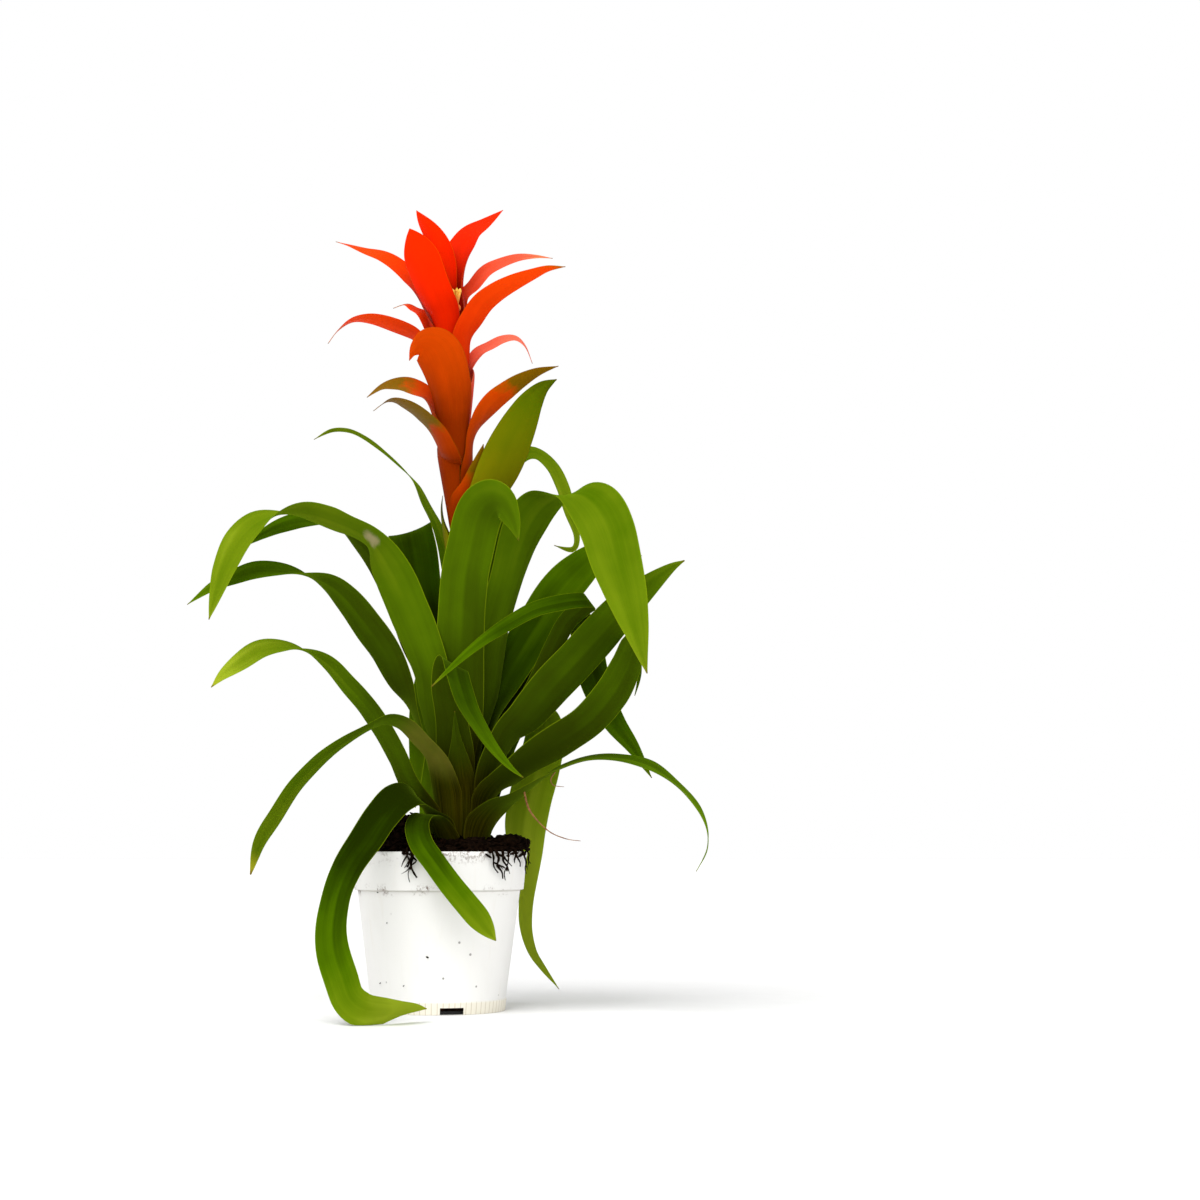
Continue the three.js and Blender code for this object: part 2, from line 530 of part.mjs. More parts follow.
// Soil: fills the pot to the rim and mounds up round the stock, with bits of bark sunk in it and a few dead
// roots that hang over the rim.
{
  const drawn = THREE.MathUtils.seededRandom;
  drawn(7);
  const wallInside = POT.shoulderRadius - POT.wall - GAP;
  const footInside = POT.footRadius - POT.wall - GAP;
  const bandBottom = POT.height - POT.bandHeight;
  const profile = [
    [0, POT.floor + GAP], [footInside, POT.floor + GAP], [footInside + 0.3, POT.footHeight],
    [wallInside, bandBottom - 2], [wallInside + 1.9, bandBottom + 2],
    [POT.rimRadius - POT.lip - GAP, SOIL.level - 2],
    ...[54, 48, 40, 30, 18, 0].map((r) => [r, SOIL.level]),
  ];
  const mound = (x, y) => SOIL.mound * Math.exp(-((Math.hypot(x - PLANT.offset, y) / SOIL.moundReach) ** 2));
  const body = turned(profile, POT.sides);
  const place = body.attributes.position;
  for (let i = 0; i < place.count; i++) {
    const [x, y, z] = [place.getX(i), place.getY(i), place.getZ(i)];
    if (z < SOIL.level - 1) continue;
    const lumps = 0.8 * Math.sin(0.35 * x + 1.3) * Math.cos(0.31 * y) + 0.5 * Math.sin(0.62 * (x + y));
    place.setZ(i, z + mound(x, y) + lumps);
  }
  const pieces = [body];
  for (let i = 0; i < SOIL.chunks; i++) {
    const a = 2 * Math.PI * drawn();
    const r = 29 + 24 * drawn();
    const [x, y] = [r * Math.cos(a), r * Math.sin(a)];
    const chunk = new THREE.IcosahedronGeometry(1, 0);
    chunk.scale(3 + 4 * drawn(), 2 + 2.5 * drawn(), 1.4 + 1.6 * drawn());
    chunk.rotateY(0.6 * drawn() - 0.3);
    chunk.rotateZ(2 * Math.PI * drawn());
    chunk.translate(x, y, SOIL.level + 0.6 + mound(x, y));
    pieces.push(chunk);
  }
  const root = (azimuth, reach, low, turn) => {
    const at = (r, z, swing = 0) => {
      const a = radians(azimuth + swing);
      return [r * Math.cos(a), r * Math.sin(a), z];
    };
    const route = [
      at(46, 105), at(55, 109.6), at(61.5, 109), at(reach, 101, turn), at(reach + 0.6, low, turn * 1.6),
    ];
    return rod(route, SOIL.rootRadius, 3, 7);
  };
  pieces.push(root(-112, 63, 91, 2), root(-108, 63, 86, -3), root(-116, 62.6, 96, -3));
  pieces.push(root(-42, 63, 90, -6), root(-36, 63, 87, 3), root(-30, 63, 95, 5), root(-25, 63, 92, -3));
  const whole = pieces.map(solidOf).reduce((all, next) => all.add(next));
  const shell = (z) => leafShell(1, z) + SOIL.clearance;
  const holeFloor = PLANT.base - 6 - GAP;
  const hole = turned([
    [0, holeFloor], [shell(PLANT.base), holeFloor], [shell(PLANT.base), PLANT.base],
    [shell(130), 130], [0, 130],
  ], 32);
  hole.translate(PLANT.offset, 0, 0);
  piece("soil", geometryOf(whole.subtract(solidOf(hole))), 0x1c0f08, 0.95);
}

// Rosette: the strap leaves, each clasping the stock by its sheath.
for (const { name, layer, azimuth, exit, width, taper, route } of LEAVES) {
  const shell = (z) => leafShell(layer, z);
  const stations = [...sheathStations(shell, azimuth, attachHeight(layer), exit), ...route];
  const geometry = strap({
    stations, azimuth, shellRadius: shell(exit), width, taper, kind: LEAF,
  });
  piece(name, geometry, LEAF.colour, LEAF.roughness);
}

// Spike: the bracts up the scape, olive at the foot and red at the top.
for (const { name, foot, azimuth, exit, width, taper, route } of BRACTS) {
  const shell = (z) => bractShell(foot, z);
  const stations = [...sheathStations(shell, azimuth, foot, exit), ...route];
  const geometry = strap({
    stations, azimuth, shellRadius: shell(exit), width, taper, kind: BRACT,
  });
  const [, colour] = BRACT_COLOURS.find(([below]) => foot < below);
  piece(name, geometry, colour, BRACT.roughness);
}

// Flowers: a tuft of small yellow tubes beside the scape, in the cup at the top of the spike.
{
  const { count, core, height, tubeLength, tipLength } = FLOWERS;
  const turn = radians(FLOWERS.azimuth);
  const centre = new THREE.Vector3(
    axisX(height) + FLOWERS.offset * Math.cos(turn), FLOWERS.offset * Math.sin(turn), height,
  );
  const parts = [new THREE.IcosahedronGeometry(core, 1).translate(...centre)];
  for (let i = 0; i < count; i++) {
    const lean = i === 0 ? 0 : FLOWERS.lean;
    const spin = radians(137.5 * i);
    const tube = new THREE.CylinderGeometry(1.1, 0.8, tubeLength, 5).translate(0, 2 + tubeLength / 2, 0);
    const tip = new THREE.ConeGeometry(1.35, tipLength, 5).translate(0, tubeLength + 1.6 + tipLength / 2, 0);
    for (const part of [tube, tip]) {
      part.rotateX(Math.PI / 2);
      part.rotateY(lean);
      part.rotateZ(spin);
      part.translate(...centre);
      parts.push(part);
    }
  }
  piece("flowers", joined(parts), 0xffc23c, 0.5);
}

export default plant;
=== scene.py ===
"""A guzmania bromeliad in a white grower's pot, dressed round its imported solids."""
import math
import random

import bmesh
import bpy
from mathutils import Matrix, Vector


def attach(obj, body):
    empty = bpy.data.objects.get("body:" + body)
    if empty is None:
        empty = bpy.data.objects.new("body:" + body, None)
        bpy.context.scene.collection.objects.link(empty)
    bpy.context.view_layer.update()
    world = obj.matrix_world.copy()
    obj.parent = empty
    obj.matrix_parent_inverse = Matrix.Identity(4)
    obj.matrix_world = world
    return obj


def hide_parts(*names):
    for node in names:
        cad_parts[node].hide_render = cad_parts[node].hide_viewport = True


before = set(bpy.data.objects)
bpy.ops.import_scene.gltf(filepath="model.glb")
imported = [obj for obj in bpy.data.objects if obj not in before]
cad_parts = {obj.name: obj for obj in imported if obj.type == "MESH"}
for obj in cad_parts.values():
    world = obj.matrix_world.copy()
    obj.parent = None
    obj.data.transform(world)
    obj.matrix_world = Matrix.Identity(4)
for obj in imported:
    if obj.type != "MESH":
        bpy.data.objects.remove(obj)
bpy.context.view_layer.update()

scene = bpy.context.scene

# Camera: stands level with the pot's rim, 1.44 m in front of it and a little to its right, and looks
# slightly up, so that the whole plant is in its square picture.
MM = 0.001
CAMERA_X, CAMERA_Y, CAMERA_Z = 110, -1442, 108.5
CAMERA_LENS, CAMERA_TILT = 62.7, 6.8


def placed(name, data):
    """A new object in the scene."""
    made = bpy.data.objects.new(name, data)
    scene.collection.objects.link(made)
    return made


camera_data = bpy.data.cameras.new("camera")
camera_data.sensor_width = 36.0
camera_data.lens = CAMERA_LENS
camera = placed("camera", camera_data)
camera.location = (CAMERA_X * MM, CAMERA_Y * MM, CAMERA_Z * MM)
camera.rotation_euler = (math.radians(90 + CAMERA_TILT), 0, 0)
scene.camera = camera


# Pot: a white grower's pot, moulded in thin plastic and turned from one profile, with a rim band, a line
# above its foot and four drain slots in its bottom edge. It is scuffed, and specked with soil.
def maths(operation):
    """A method that adds one Math node."""
    def method(self, *others):
        return self.graph.node("ShaderNodeMath", dict(enumerate([self, *others])), operation=operation)
    return method


class Value:
    """One socket in a tree of nodes. Arithmetic on it adds Math nodes."""
    __add__ = __radd__ = maths("ADD")
    __mul__ = __rmul__ = maths("MULTIPLY")
    __sub__, __truediv__, __pow__ = maths("SUBTRACT"), maths("DIVIDE"), maths("POWER")
    minimum, maximum, angle_to = maths("MINIMUM"), maths("MAXIMUM"), maths("ARCTAN2")
    sine, cosine, absolute, sign = maths("SINE"), maths("COSINE"), maths("ABSOLUTE"), maths("SIGN")

    def __init__(self, graph, socket):
        self.graph = graph
        self.socket = socket

    def __getitem__(self, output):
        return Value(self.graph, self.socket.node.outputs[output])

    def __rsub__(self, other):
        return self.graph.node("ShaderNodeMath", {0: other, 1: self}, operation="SUBTRACT")

    def vector(self, operation, other, key=1):
        return self.graph.node("ShaderNodeVectorMath", {0: self, key: other}, operation=operation)

    def scaled(self, factor):
        return self.vector("SCALE", factor, "Scale")

    def ramp(self, low, high):
        """0 below low and 1 above high, or the other way round where low is the larger."""
        falling = not isinstance(low, Value) and low > high
        low, high = (high, low) if falling else (low, high)
        ends = {"From Min": low, "From Max": high, "To Min": float(falling), "To Max": float(not falling)}
        return self.graph.node(
            "ShaderNodeMapRange", {"Value": self, **ends}, interpolation_type="SMOOTHSTEP", clamp=True)


class Graph:
    """A tree of nodes, for a material or for geometry."""

    def __init__(self, tree):
        self.tree = tree

    def node(self, kind, inputs=None, output=0, **settings):
        """Adds a node with its settings and its inputs, each a plain value or a socket to link."""
        made = self.tree.nodes.new(kind)
        for key, value in settings.items():
            if key == "stops":
                elements = made.color_ramp.elements
                while len(elements) < len(value):
                    elements.new(0.5)
                for element, (place, colour) in zip(elements, value):
                    element.position = place
                    element.color = (*colour, 1)
            else:
                setattr(made, key, value)
        for key, value in (inputs or {}).items():
            if isinstance(value, Value):
                self.tree.links.new(value.socket, made.inputs[key])
            else:
                made.inputs[key].default_value = value
        return Value(self, made.outputs[output]) if made.outputs else None

    def painted(self, colour, *coats):
        """A colour with coats over it, each a strength and a colour, given as a socket or as (r, g, b)."""
        for strength, coat in coats:
            first, second = (c if isinstance(c, Value) else (*c, 1) for c in (colour, coat))
            inputs = {"Factor": strength, 6: first, 7: second}
            colour = self.node("ShaderNodeMix", inputs, 2, data_type="RGBA")
        return colour

    def noise(self, place, scale, detail=3.0, roughness=0.5, size=(1, 1, 1)):
        stretched = self.node("ShaderNodeMapping", {"Vector": place, "Scale": size})
        return self.node("ShaderNodeTexNoise", {
            "Vector": stretched, "Scale": scale, "Detail": detail, "Roughness": roughness})


def material(name, **constant):
    """A new material with its shader's plain values set, its graph, and the place on the piece."""
    made = bpy.data.materials.new(name)
    made.use_nodes = True
    graph = Graph(made.node_tree)
    shader = made.node_tree.nodes["Principled BSDF"]
    for key, value in constant.items():
        shader.inputs[key.replace("_", " ")].default_value = value
    place = graph.node("ShaderNodeTexCoord")["Object"]
    return made, graph, shader, place


def finish(graph, shader, colour, roughness=None, height=None, depth=0.3 * MM):
    """Links what changes over the surface to the shader."""
    if height is not None:
        height = graph.node("ShaderNodeBump", {"Height": height, "Distance": depth, "Strength": 1.0})
    for key, value in (("Base Color", colour), ("Roughness", roughness), ("Normal", height)):
        if value is not None:
            graph.tree.links.new(value.socket, shader.inputs[key])


def piece(name, mesh, slot, *nodes):
    """Makes a mesh a piece of the plant, in place of the CAD nodes that are named."""
    made = placed(name, mesh)
    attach(made, "root")
    if nodes:
        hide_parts(*nodes)


def mesh_of(points, edges=(), faces=()):
    """A mesh through points in mm."""
    made = bpy.data.meshes.new("mesh")
    made.from_pydata([(x * MM, y * MM, z * MM) for x, y, z in points], edges, faces)
    return made


def skinned(rows, closed=True):
    """A mesh over rows of points in mm, closed to rings or open. A row may be one point on the axis."""
    sides = max(map(len, rows))
    faces = []
    start = 0
    for low, high in zip(rows, rows[1:]):
        above = start + len(low)
        for k in range(sides if closed else sides - 1):
            corners = [start + n % len(low) for n in (k, k + 1)]
            corners += [above + n % len(high) for n in (k + 1, k)]
            faces.append(tuple(dict.fromkeys(corners)))
        start = above
    return mesh_of(sum(rows, []), faces=faces)


def on_ring(azimuth, radius, height):
    """A point round +Z at an azimuth in degrees."""
    turn = math.radians(azimuth)
    return (radius * math.cos(turn), radius * math.sin(turn), height)


def turned(profile, sides):
    """A closed mesh turned round +Z from a profile in mm that starts and ends on the axis."""
    turns = [360 * k / sides for k in range(sides)]
    return skinned([[on_ring(a, r, z) for a in (turns if r else turns[:1])] for r, z in profile])


def arc(centre, radius, start, end, steps):
    """Points on a round corner of a profile, with the angles in degrees."""
    angles = [math.radians(start + (end - start) * i / steps) for i in range(steps + 1)]
    return [(centre[0] + radius * math.cos(a), centre[1] + radius * math.sin(a)) for a in angles]


POT_HEIGHT, POT_RIM, POT_SHOULDER, POT_FOOT, POT_WALL, POT_SIDES = 107, 60, 55.4, 45.5, 1.3, 192
BAND_HEIGHT, RIM_LIP, FOOT_LINE, POT_FLOOR = 26, 1.8, 8, 2.2
BAND_BOTTOM = POT_HEIGHT - BAND_HEIGHT
pot_profile = [
    (0, 0), (POT_FOOT - 0.8, 0), *arc((POT_FOOT - 0.6, 0.6), 0.6, -90, -5, 4),
    (POT_FOOT + 0.9, FOOT_LINE - 0.3), *arc((POT_FOOT + 0.6, FOOT_LINE), 0.3, 0, 90, 3),
    (POT_FOOT + 0.4, FOOT_LINE + 0.7), (POT_SHOULDER - 0.1, BAND_BOTTOM - 0.6),
    *arc((POT_SHOULDER + 0.5, BAND_BOTTOM - 0.3), 0.5, 180, 90, 4),
    (POT_SHOULDER + 1.7, BAND_BOTTOM + 0.2), *arc((POT_SHOULDER + 1.7, BAND_BOTTOM + 0.8), 0.6, -90, 0, 4),
    (POT_RIM - 0.3, POT_HEIGHT - 3.4), (POT_RIM, POT_HEIGHT - 2.6),
    *arc((POT_RIM - 0.7, POT_HEIGHT - 0.7), 0.7, 0, 90, 5),
    *arc((POT_RIM - RIM_LIP + 0.5, POT_HEIGHT - 0.5), 0.5, 90, 180, 4),
    (POT_SHOULDER + 0.9, BAND_BOTTOM + 1.5), (POT_SHOULDER - POT_WALL, BAND_BOTTOM - 1.5),
    (POT_FOOT - 0.9, FOOT_LINE), (POT_FOOT - POT_WALL, POT_FLOOR), (0, POT_FLOOR),
]
pot_mesh = turned(pot_profile, POT_SIDES)
pot_blank = placed("pot_blank", pot_mesh)
SLOT_COUNT, SLOT_WIDTH, SLOT_HEIGHT, FIRST_SLOT = 4, 16, 4.6, -74
BOX_FACES = [(0, 1, 3, 2), (4, 6, 7, 5), (0, 4, 5, 1), (2, 3, 7, 6), (0, 2, 6, 4), (1, 5, 7, 3)]


def evaluated(changed):
    """A plain mesh of an object with its modifiers carried out."""
    return bpy.data.meshes.new_from_object(changed.evaluated_get(bpy.context.evaluated_depsgraph_get()))


for i in range(SLOT_COUNT):
    half, depths = SLOT_WIDTH / 2, (POT_FOOT - 5, POT_FOOT + 7)
    corners = [(x, y, z) for x in depths for y in (-half, half) for z in (-1, SLOT_HEIGHT)]
    cutter_mesh = mesh_of(corners, faces=BOX_FACES)
    cutter_mesh.transform(Matrix.Rotation(math.radians(FIRST_SLOT + 360 / SLOT_COUNT * i), 4, "Z"))
    cut = pot_blank.modifiers.new("slot", "BOOLEAN")
    cut.object = placed("slot", cutter_mesh)
    cut.solver = "EXACT"
    pot_mesh = evaluated(pot_blank)
    bpy.data.objects.remove(cut.object)
    pot_blank.modifiers.clear()
    pot_blank.data = pot_mesh
bpy.data.objects.remove(pot_blank)

POT_WHITE, FOOT_CREAM, RIB_BROWN = (0.90, 0.89, 0.865), (0.86, 0.81, 0.67), (0.45, 0.36, 0.22)
SCUFF_GREY, STREAK_TAN, DIRT_BROWN = (0.82, 0.80, 0.76), (0.78, 0.73, 0.64), (0.13, 0.06, 0.025)
SPECK_BLACK, EDGE_SHADE_AND_DIRT_BROWN, SLOT_SHADE_BLACK = (0.04, 0.02, 0.015), (0.30, 0.26, 0.21), (0.004, 0.003, 0.002)
FOOT_RIBS = 74
plastic, graph, shader, place = material("white_plastic", Specular_IOR_Level=0.35)
parted = graph.node("ShaderNodeSeparateXYZ", {0: place})
height = parted["Z"]
azimuth = parted["Y"].angle_to(parted["X"])
reach = (parted["X"] * parted["X"] + parted["Y"] * parted["Y"]) ** 0.5
scuff = graph.noise(place, 90, 5, 0.65, (1, 1, 0.25))
grime = graph.noise(place, 40, 6, 0.7)
grit = graph.noise(place, 520, 4, 0.7)
streak = graph.noise(place, 50, 3, 0.6, (4, 4, 0.15))
speck = graph.node("ShaderNodeTexVoronoi", {"Vector": place, "Scale": 95.0, "Randomness": 1.0})
specks = speck.ramp(0.11, 0.05) * graph.noise(place, 27, 2).ramp(0.55, 0.65)


def edge_band(*heights):
    """A mask that fades in and out again between four heights in mm from the rim band's lower edge."""
    low, start, end, high = ((BAND_BOTTOM + z) * MM for z in heights)
    return height.ramp(low, start) * height.ramp(high, end)


rim_dirt = height.ramp((POT_HEIGHT - 12) * MM, POT_HEIGHT * MM) * grime.ramp(0.47, 0.6)
band_dirt = edge_band(-5, -0.5, 2, 6) * grime.ramp(0.5, 0.6)
crust = (rim_dirt + band_dirt).minimum(1.0) * grit.ramp(0.46, 0.6)
foot_ring = height.ramp((FOOT_LINE + 1) * MM, (FOOT_LINE - 1) * MM)
ribs = (azimuth * FOOT_RIBS).sine().ramp(0.8, 1.0) * foot_ring
# Painted shade and dirt: a thin brown line along the rim band's lower edge stands for the shadow under the
# band, darker still where grime lies.
edge_shade_and_dirt = edge_band(-1, -0.2, 0.1, 0.9)
# Painted shade: surfaces inside the pot's foot, seen through the drain slots, are painted near black for the
# shadow there.
slot_shade = reach.ramp((POT_FOOT - 1.5) * MM, (POT_FOOT - 2.5) * MM) * height.ramp(0.05 * MM, 0.1 * MM)
colour = graph.painted(
    POT_WHITE, (foot_ring * 0.8, FOOT_CREAM), (ribs * 0.5, RIB_BROWN),
    (scuff.ramp(0.5, 0.75) * 0.25, SCUFF_GREY), (streak.ramp(0.55, 0.8) * 0.2, STREAK_TAN),
    (crust * 0.85, DIRT_BROWN), (specks, SPECK_BLACK), (edge_shade_and_dirt * (0.2 + grime * 0.5), EDGE_SHADE_AND_DIRT_BROWN),
    (slot_shade, SLOT_SHADE_BLACK))
finish(graph, shader, colour, 0.35 + scuff * 0.3, scuff + grit * 0.3 + crust * 2 - ribs * 0.6, 0.1 * MM)
pot_mesh.materials.clear()
pot_mesh.materials.append(plastic)
pot_mesh.shade_smooth()
pot_mesh.set_sharp_from_angle(angle=math.radians(35))
piece("pot_shell", pot_mesh, "pot", "pot")


# Soil: a dark mix of bark and compost, filled to the rim and mounded round the plant. Chips of bark lie
# loose on it, dead roots hang over the rim, and a few crumbs stick to the pot's wall.
PLANT_X, LEAN, LEAN_FOOT, LEAN_SPAN, LEAN_CURVE = 15, 17.5, 100, 460, 2.2
SOIL_LEVEL, MOUND_HEIGHT, MOUND_REACH = 106, 12, 40
HOLLOW_FLOOR, HOLLOW_RADIUS, HOLLOW_RISE, SOIL_SIDES = 94, 19.5, 22, 160


def axis_x(z):
    """Where the plant's own centre line stands in X at a height, both in mm: it leans a little."""
    return PLANT_X - LEAN * (max(0, z - LEAN_FOOT) / LEAN_SPAN) ** LEAN_CURVE


def mound(x, y):
    """Height of the soil's top above the pot's foot, in mm."""
    lumps = 0.8 * math.sin(0.35 * x + 1.3) * math.cos(0.31 * y) + 0.5 * math.sin(0.62 * (x + y))
    away = math.hypot(x - PLANT_X, y)
    return SOIL_LEVEL + MOUND_HEIGHT * math.exp(-(away / MOUND_REACH) ** 2) + lumps


soil_rings = [0, 6, 12, 17.5, 19.5, *[21 + 1.9 * i for i in range(19)], 56.6]
soil_profile = [
    (0, 2.6), (43.8, 2.6), (44.1, 8), (53.7, 79), (55.6, 83), (57.6, 104),
    *[(r, SOIL_LEVEL) for r in reversed(soil_rings)]]
soil_mesh = turned(soil_profile, SOIL_SIDES)
for vertex in soil_mesh.vertices:
    x, y, z = vertex.co / MM
    if z > SOIL_LEVEL - 1:
        crumbs = 0.6 * math.sin(2.1 * x + 0.7 * y) * math.sin(1.7 * y - 0.6 * x)
        vertex.co.z = (mound(x, y) + crumbs + 0.4 * math.sin(3 * x + 2.9 * y)) * MM
    inwards = math.hypot(x - PLANT_X, y)
    if z > HOLLOW_FLOOR and inwards < HOLLOW_RADIUS:
        under = HOLLOW_FLOOR + (inwards / HOLLOW_RADIUS) ** 4 * HOLLOW_RISE
        vertex.co.z = min(vertex.co.z, under * MM)

BARK_BLACK, BARK_BROWN, BARK_RED = (0.0016, 0.0008, 0.0004), (0.013, 0.006, 0.003), (0.05, 0.014, 0.006)
bark, graph, shader, place = material("bark_mix", Roughness=0.95, Specular_IOR_Level=0.02)
lumps = graph.noise(place, 260, 5, 0.7)
streak = graph.noise(place, 90, 4, 0.6)
colour = graph.painted(
    BARK_BLACK, (lumps.ramp(0.35, 0.7), BARK_BROWN), (streak.ramp(0.6, 0.8) * 0.6, BARK_RED))
finish(graph, shader, colour, None, lumps, 1.2 * MM)
soil_mesh.materials.append(bark)
soil_mesh.shade_smooth()
piece("soil_bed", soil_mesh, "soil", "soil")


def new_tree(name, **inputs):
    """A new geometry tree with named inputs, its graph, and the values that it is given."""
    tree = bpy.data.node_groups.new(name, "GeometryNodeTree")
    for key, kind in {"Geometry": "Geometry", **inputs, "Finish": "Material"}.items():
        tree.interface.new_socket(key, in_out="INPUT", socket_type="NodeSocket" + kind)
    tree.interface.new_socket("Geometry", in_out="OUTPUT", socket_type="NodeSocketGeometry")
    graph = Graph(tree)
    return tree, graph, graph.node("NodeGroupInput")


def end_tree(graph, given, shape):
    """Ends a geometry tree with its shape realised and in its finish."""
    shape = graph.node("GeometryNodeRealizeInstances", {"Geometry": shape})
    shape = graph.node("GeometryNodeSetMaterial", {"Geometry": shape, "Material": given["Finish"]})
    graph.node("NodeGroupOutput", {"Geometry": shape})


chip_tree, graph, given = new_tree("bark_chips", Chips="Float", Size="Float", Seed="Int")
seed = given["Seed"]
strewn = graph.node("GeometryNodeDistributePointsOnFaces", {
    "Mesh": given["Geometry"], "Density": given["Chips"], "Seed": seed}, distribute_method="RANDOM")
chip = graph.node("GeometryNodeMeshIcoSphere", {"Radius": 1.0, "Subdivisions": 2})
jag = graph.node("ShaderNodeTexNoise", {"Scale": 0.9, "Detail": 2.0})
stand = graph.node("GeometryNodeInputPosition")
chip = graph.node("GeometryNodeSetPosition", {
    "Geometry": chip, "Position": stand.scaled(0.55 + jag * 0.9)})
LEAST_TURN, MOST_TURN = (-0.6, -0.6, 0.0), (0.6, 0.6, 6.283)
LEAST_CHIP, MOST_CHIP = (0.5, 0.3, 0.2), (1.9, 1.1, 0.6)
turn, size = (
    graph.node("FunctionNodeRandomValue", {0: least, 1: most, "Seed": key}, data_type="FLOAT_VECTOR")
    for least, most, key in ((LEAST_TURN, MOST_TURN, seed), (LEAST_CHIP, MOST_CHIP, seed + 3)))
end_tree(graph, given, graph.node("GeometryNodeInstanceOnPoints", {
    "Points": strewn, "Instance": chip, "Rotation": turn,
    "Scale": size.scaled(given["Size"])}))


def grown_mesh(tree, carrier, **sizes):
    """Runs a geometry tree on a mesh and returns the result as a plain mesh."""
    holder = placed("carrier", carrier)
    growth = holder.modifiers.new("growth", "NODES")
    growth.node_group = tree
    for item in tree.interface.items_tree:
        if item.in_out == "INPUT" and item.name in sizes:
            growth[item.identifier] = sizes[item.name]
    made = evaluated(holder)
    bpy.data.objects.remove(holder)
    return made


def joined(name, meshes, skin, slot, *nodes):
    """Makes one piece of several meshes in one material, and returns its mesh."""
    together = bmesh.new()
    for mesh in meshes:
        together.from_mesh(mesh)
    made = bpy.data.meshes.new(name)
    together.to_mesh(made)
    made.materials.append(skin)
    made.shade_smooth()
    piece(name, made, slot, *nodes)
    return made


def ring_ground(radii, lift):
    """A strip of the soil's surface between the first and last of some radii, to strew chips on."""
    rows = [[on_ring(9 * k, r, lift) for k in range(40)] for r in radii]
    return skinned([[(x, y, mound(x, y) + z) for x, y, z in row] for row in rows])


CHIP_KINDS = [
    # Radii that a kind of chip covers, its lift, how many on a square metre, its size and its seed
    ((27, 33, 39, 45, 50, 54.5), 0.4, 36000, 2.2, 4), ((30, 36, 42, 47, 52), 1.0, 9000, 4.4, 11),
    ((44, 48, 52, 56), 1.2, 14000, 3.2, 23),
]
for number, (radii, lift, chips, size, seed) in enumerate(CHIP_KINDS):
    ground = ring_ground(radii, lift)
    chip_mesh = grown_mesh(chip_tree, ground, Chips=chips, Size=size * MM, Seed=seed, Finish=bark)
    piece(f"bark_chips_{number}", chip_mesh, "soil")

CLODS = [
    # Place on the ground, radius and height of each clod of soil
    (-22, -6, 17, 19), (-34, -10, 13, 10), (-13, -21, 12, 9), (47, -14, 10, 6), (52, 3, 9, 6),
    (28, -38, 11, 5), (-41, 14, 12, 7), (20, 41, 12, 6), (-10, 43, 12, 7), (43, 25, 11, 6),
]
CLOD_SIDES, CLOD_FOOT, CLOD_DOME, CLOD_LUMPS = 28, -3, (0.35, 0.6, 0.85, 1.1, 1.3), 0.13
HEAP_CHIPS, HEAP_CHIP_SIZE = 52000, 2.3
clods = []
for number, (x, y, radius, height) in enumerate(CLODS):
    low = [(0, CLOD_FOOT), (radius, CLOD_FOOT), (radius * 0.93, height * 0.15)]
    dome = [(radius * math.cos(a), height * math.sin(a)) for a in CLOD_DOME]
    clod = turned([*low, *dome, (0, height)], CLOD_SIDES)
    for vertex in clod.vertices:
        a, b, c = vertex.co / MM
        rough = math.sin(1.1 * a + number) * math.sin(0.9 * b + c)
        rough += 0.7 * math.sin(2.3 * b - 1.9 * c) * math.sin(2.6 * a)
        vertex.co *= 1 + CLOD_LUMPS * rough
        vertex.co += Vector((x, y, mound(x, y))) * MM
    clods.append(clod)
heap_mesh = joined("soil_clods", clods, bark, "soil")
chip_mesh = grown_mesh(
    chip_tree, heap_mesh, Chips=HEAP_CHIPS, Size=HEAP_CHIP_SIZE * MM, Seed=31, Finish=bark)
piece("bark_chips_heap", chip_mesh, "soil")

root_tree, graph, given = new_tree("roots", Thickness="Float", Knots="Float")
line = graph.node("GeometryNodeMeshToCurve", {"Mesh": given["Geometry"]})
line = graph.node("GeometryNodeCurveSplineType", {"Curve": line}, spline_type="CATMULL_ROM")
line = graph.node("GeometryNodeResampleCurve", {"Curve": line, "Count": 30})
share = graph.node("GeometryNodeSplineParameter")["Factor"]
knot = graph.node("ShaderNodeTexNoise", {"Scale": given["Knots"], "Detail": 2.0})
girth = given["Thickness"] * (1.05 - share * 0.75) * (0.35 + knot * 1.3)
ring = graph.node("GeometryNodeCurvePrimitiveCircle", {"Resolution": 8, "Radius": 1.0})
end_tree(graph, given, graph.node("GeometryNodeCurveToMesh", {
    "Curve": line, "Profile Curve": ring, "Scale": girth, "Fill Caps": True}))


def route_of(points):
    """A line of edges through points in mm, for a geometry tree to follow."""
    return mesh_of(points, [(i, i + 1) for i in range(len(points) - 1)])


def root(points, thickness):
    """A root along its points in mm, thinning to its end."""
    return grown_mesh(root_tree, route_of(points), Thickness=thickness * MM, Knots=340.0, Finish=bark)


HANGING_ROOTS = [
    # Azimuth, lowest point, girth and swing of each root that hangs over the rim
    (-106, 97, 1.3, 2), (-103, 90, 1.7, 3), (-100, 95, 1.3, -2), (-101, 87, 0.8, -3), (-52, 93, 1.2, 4),
    (-49, 89, 1.5, 5), (-43, 94, 1.6, 3), (-38, 88, 0.9, -4), (-30, 97, 1.4, 3), (-22, 92, 1.1, 5),
    (-14, 99, 1.0, 6),
]
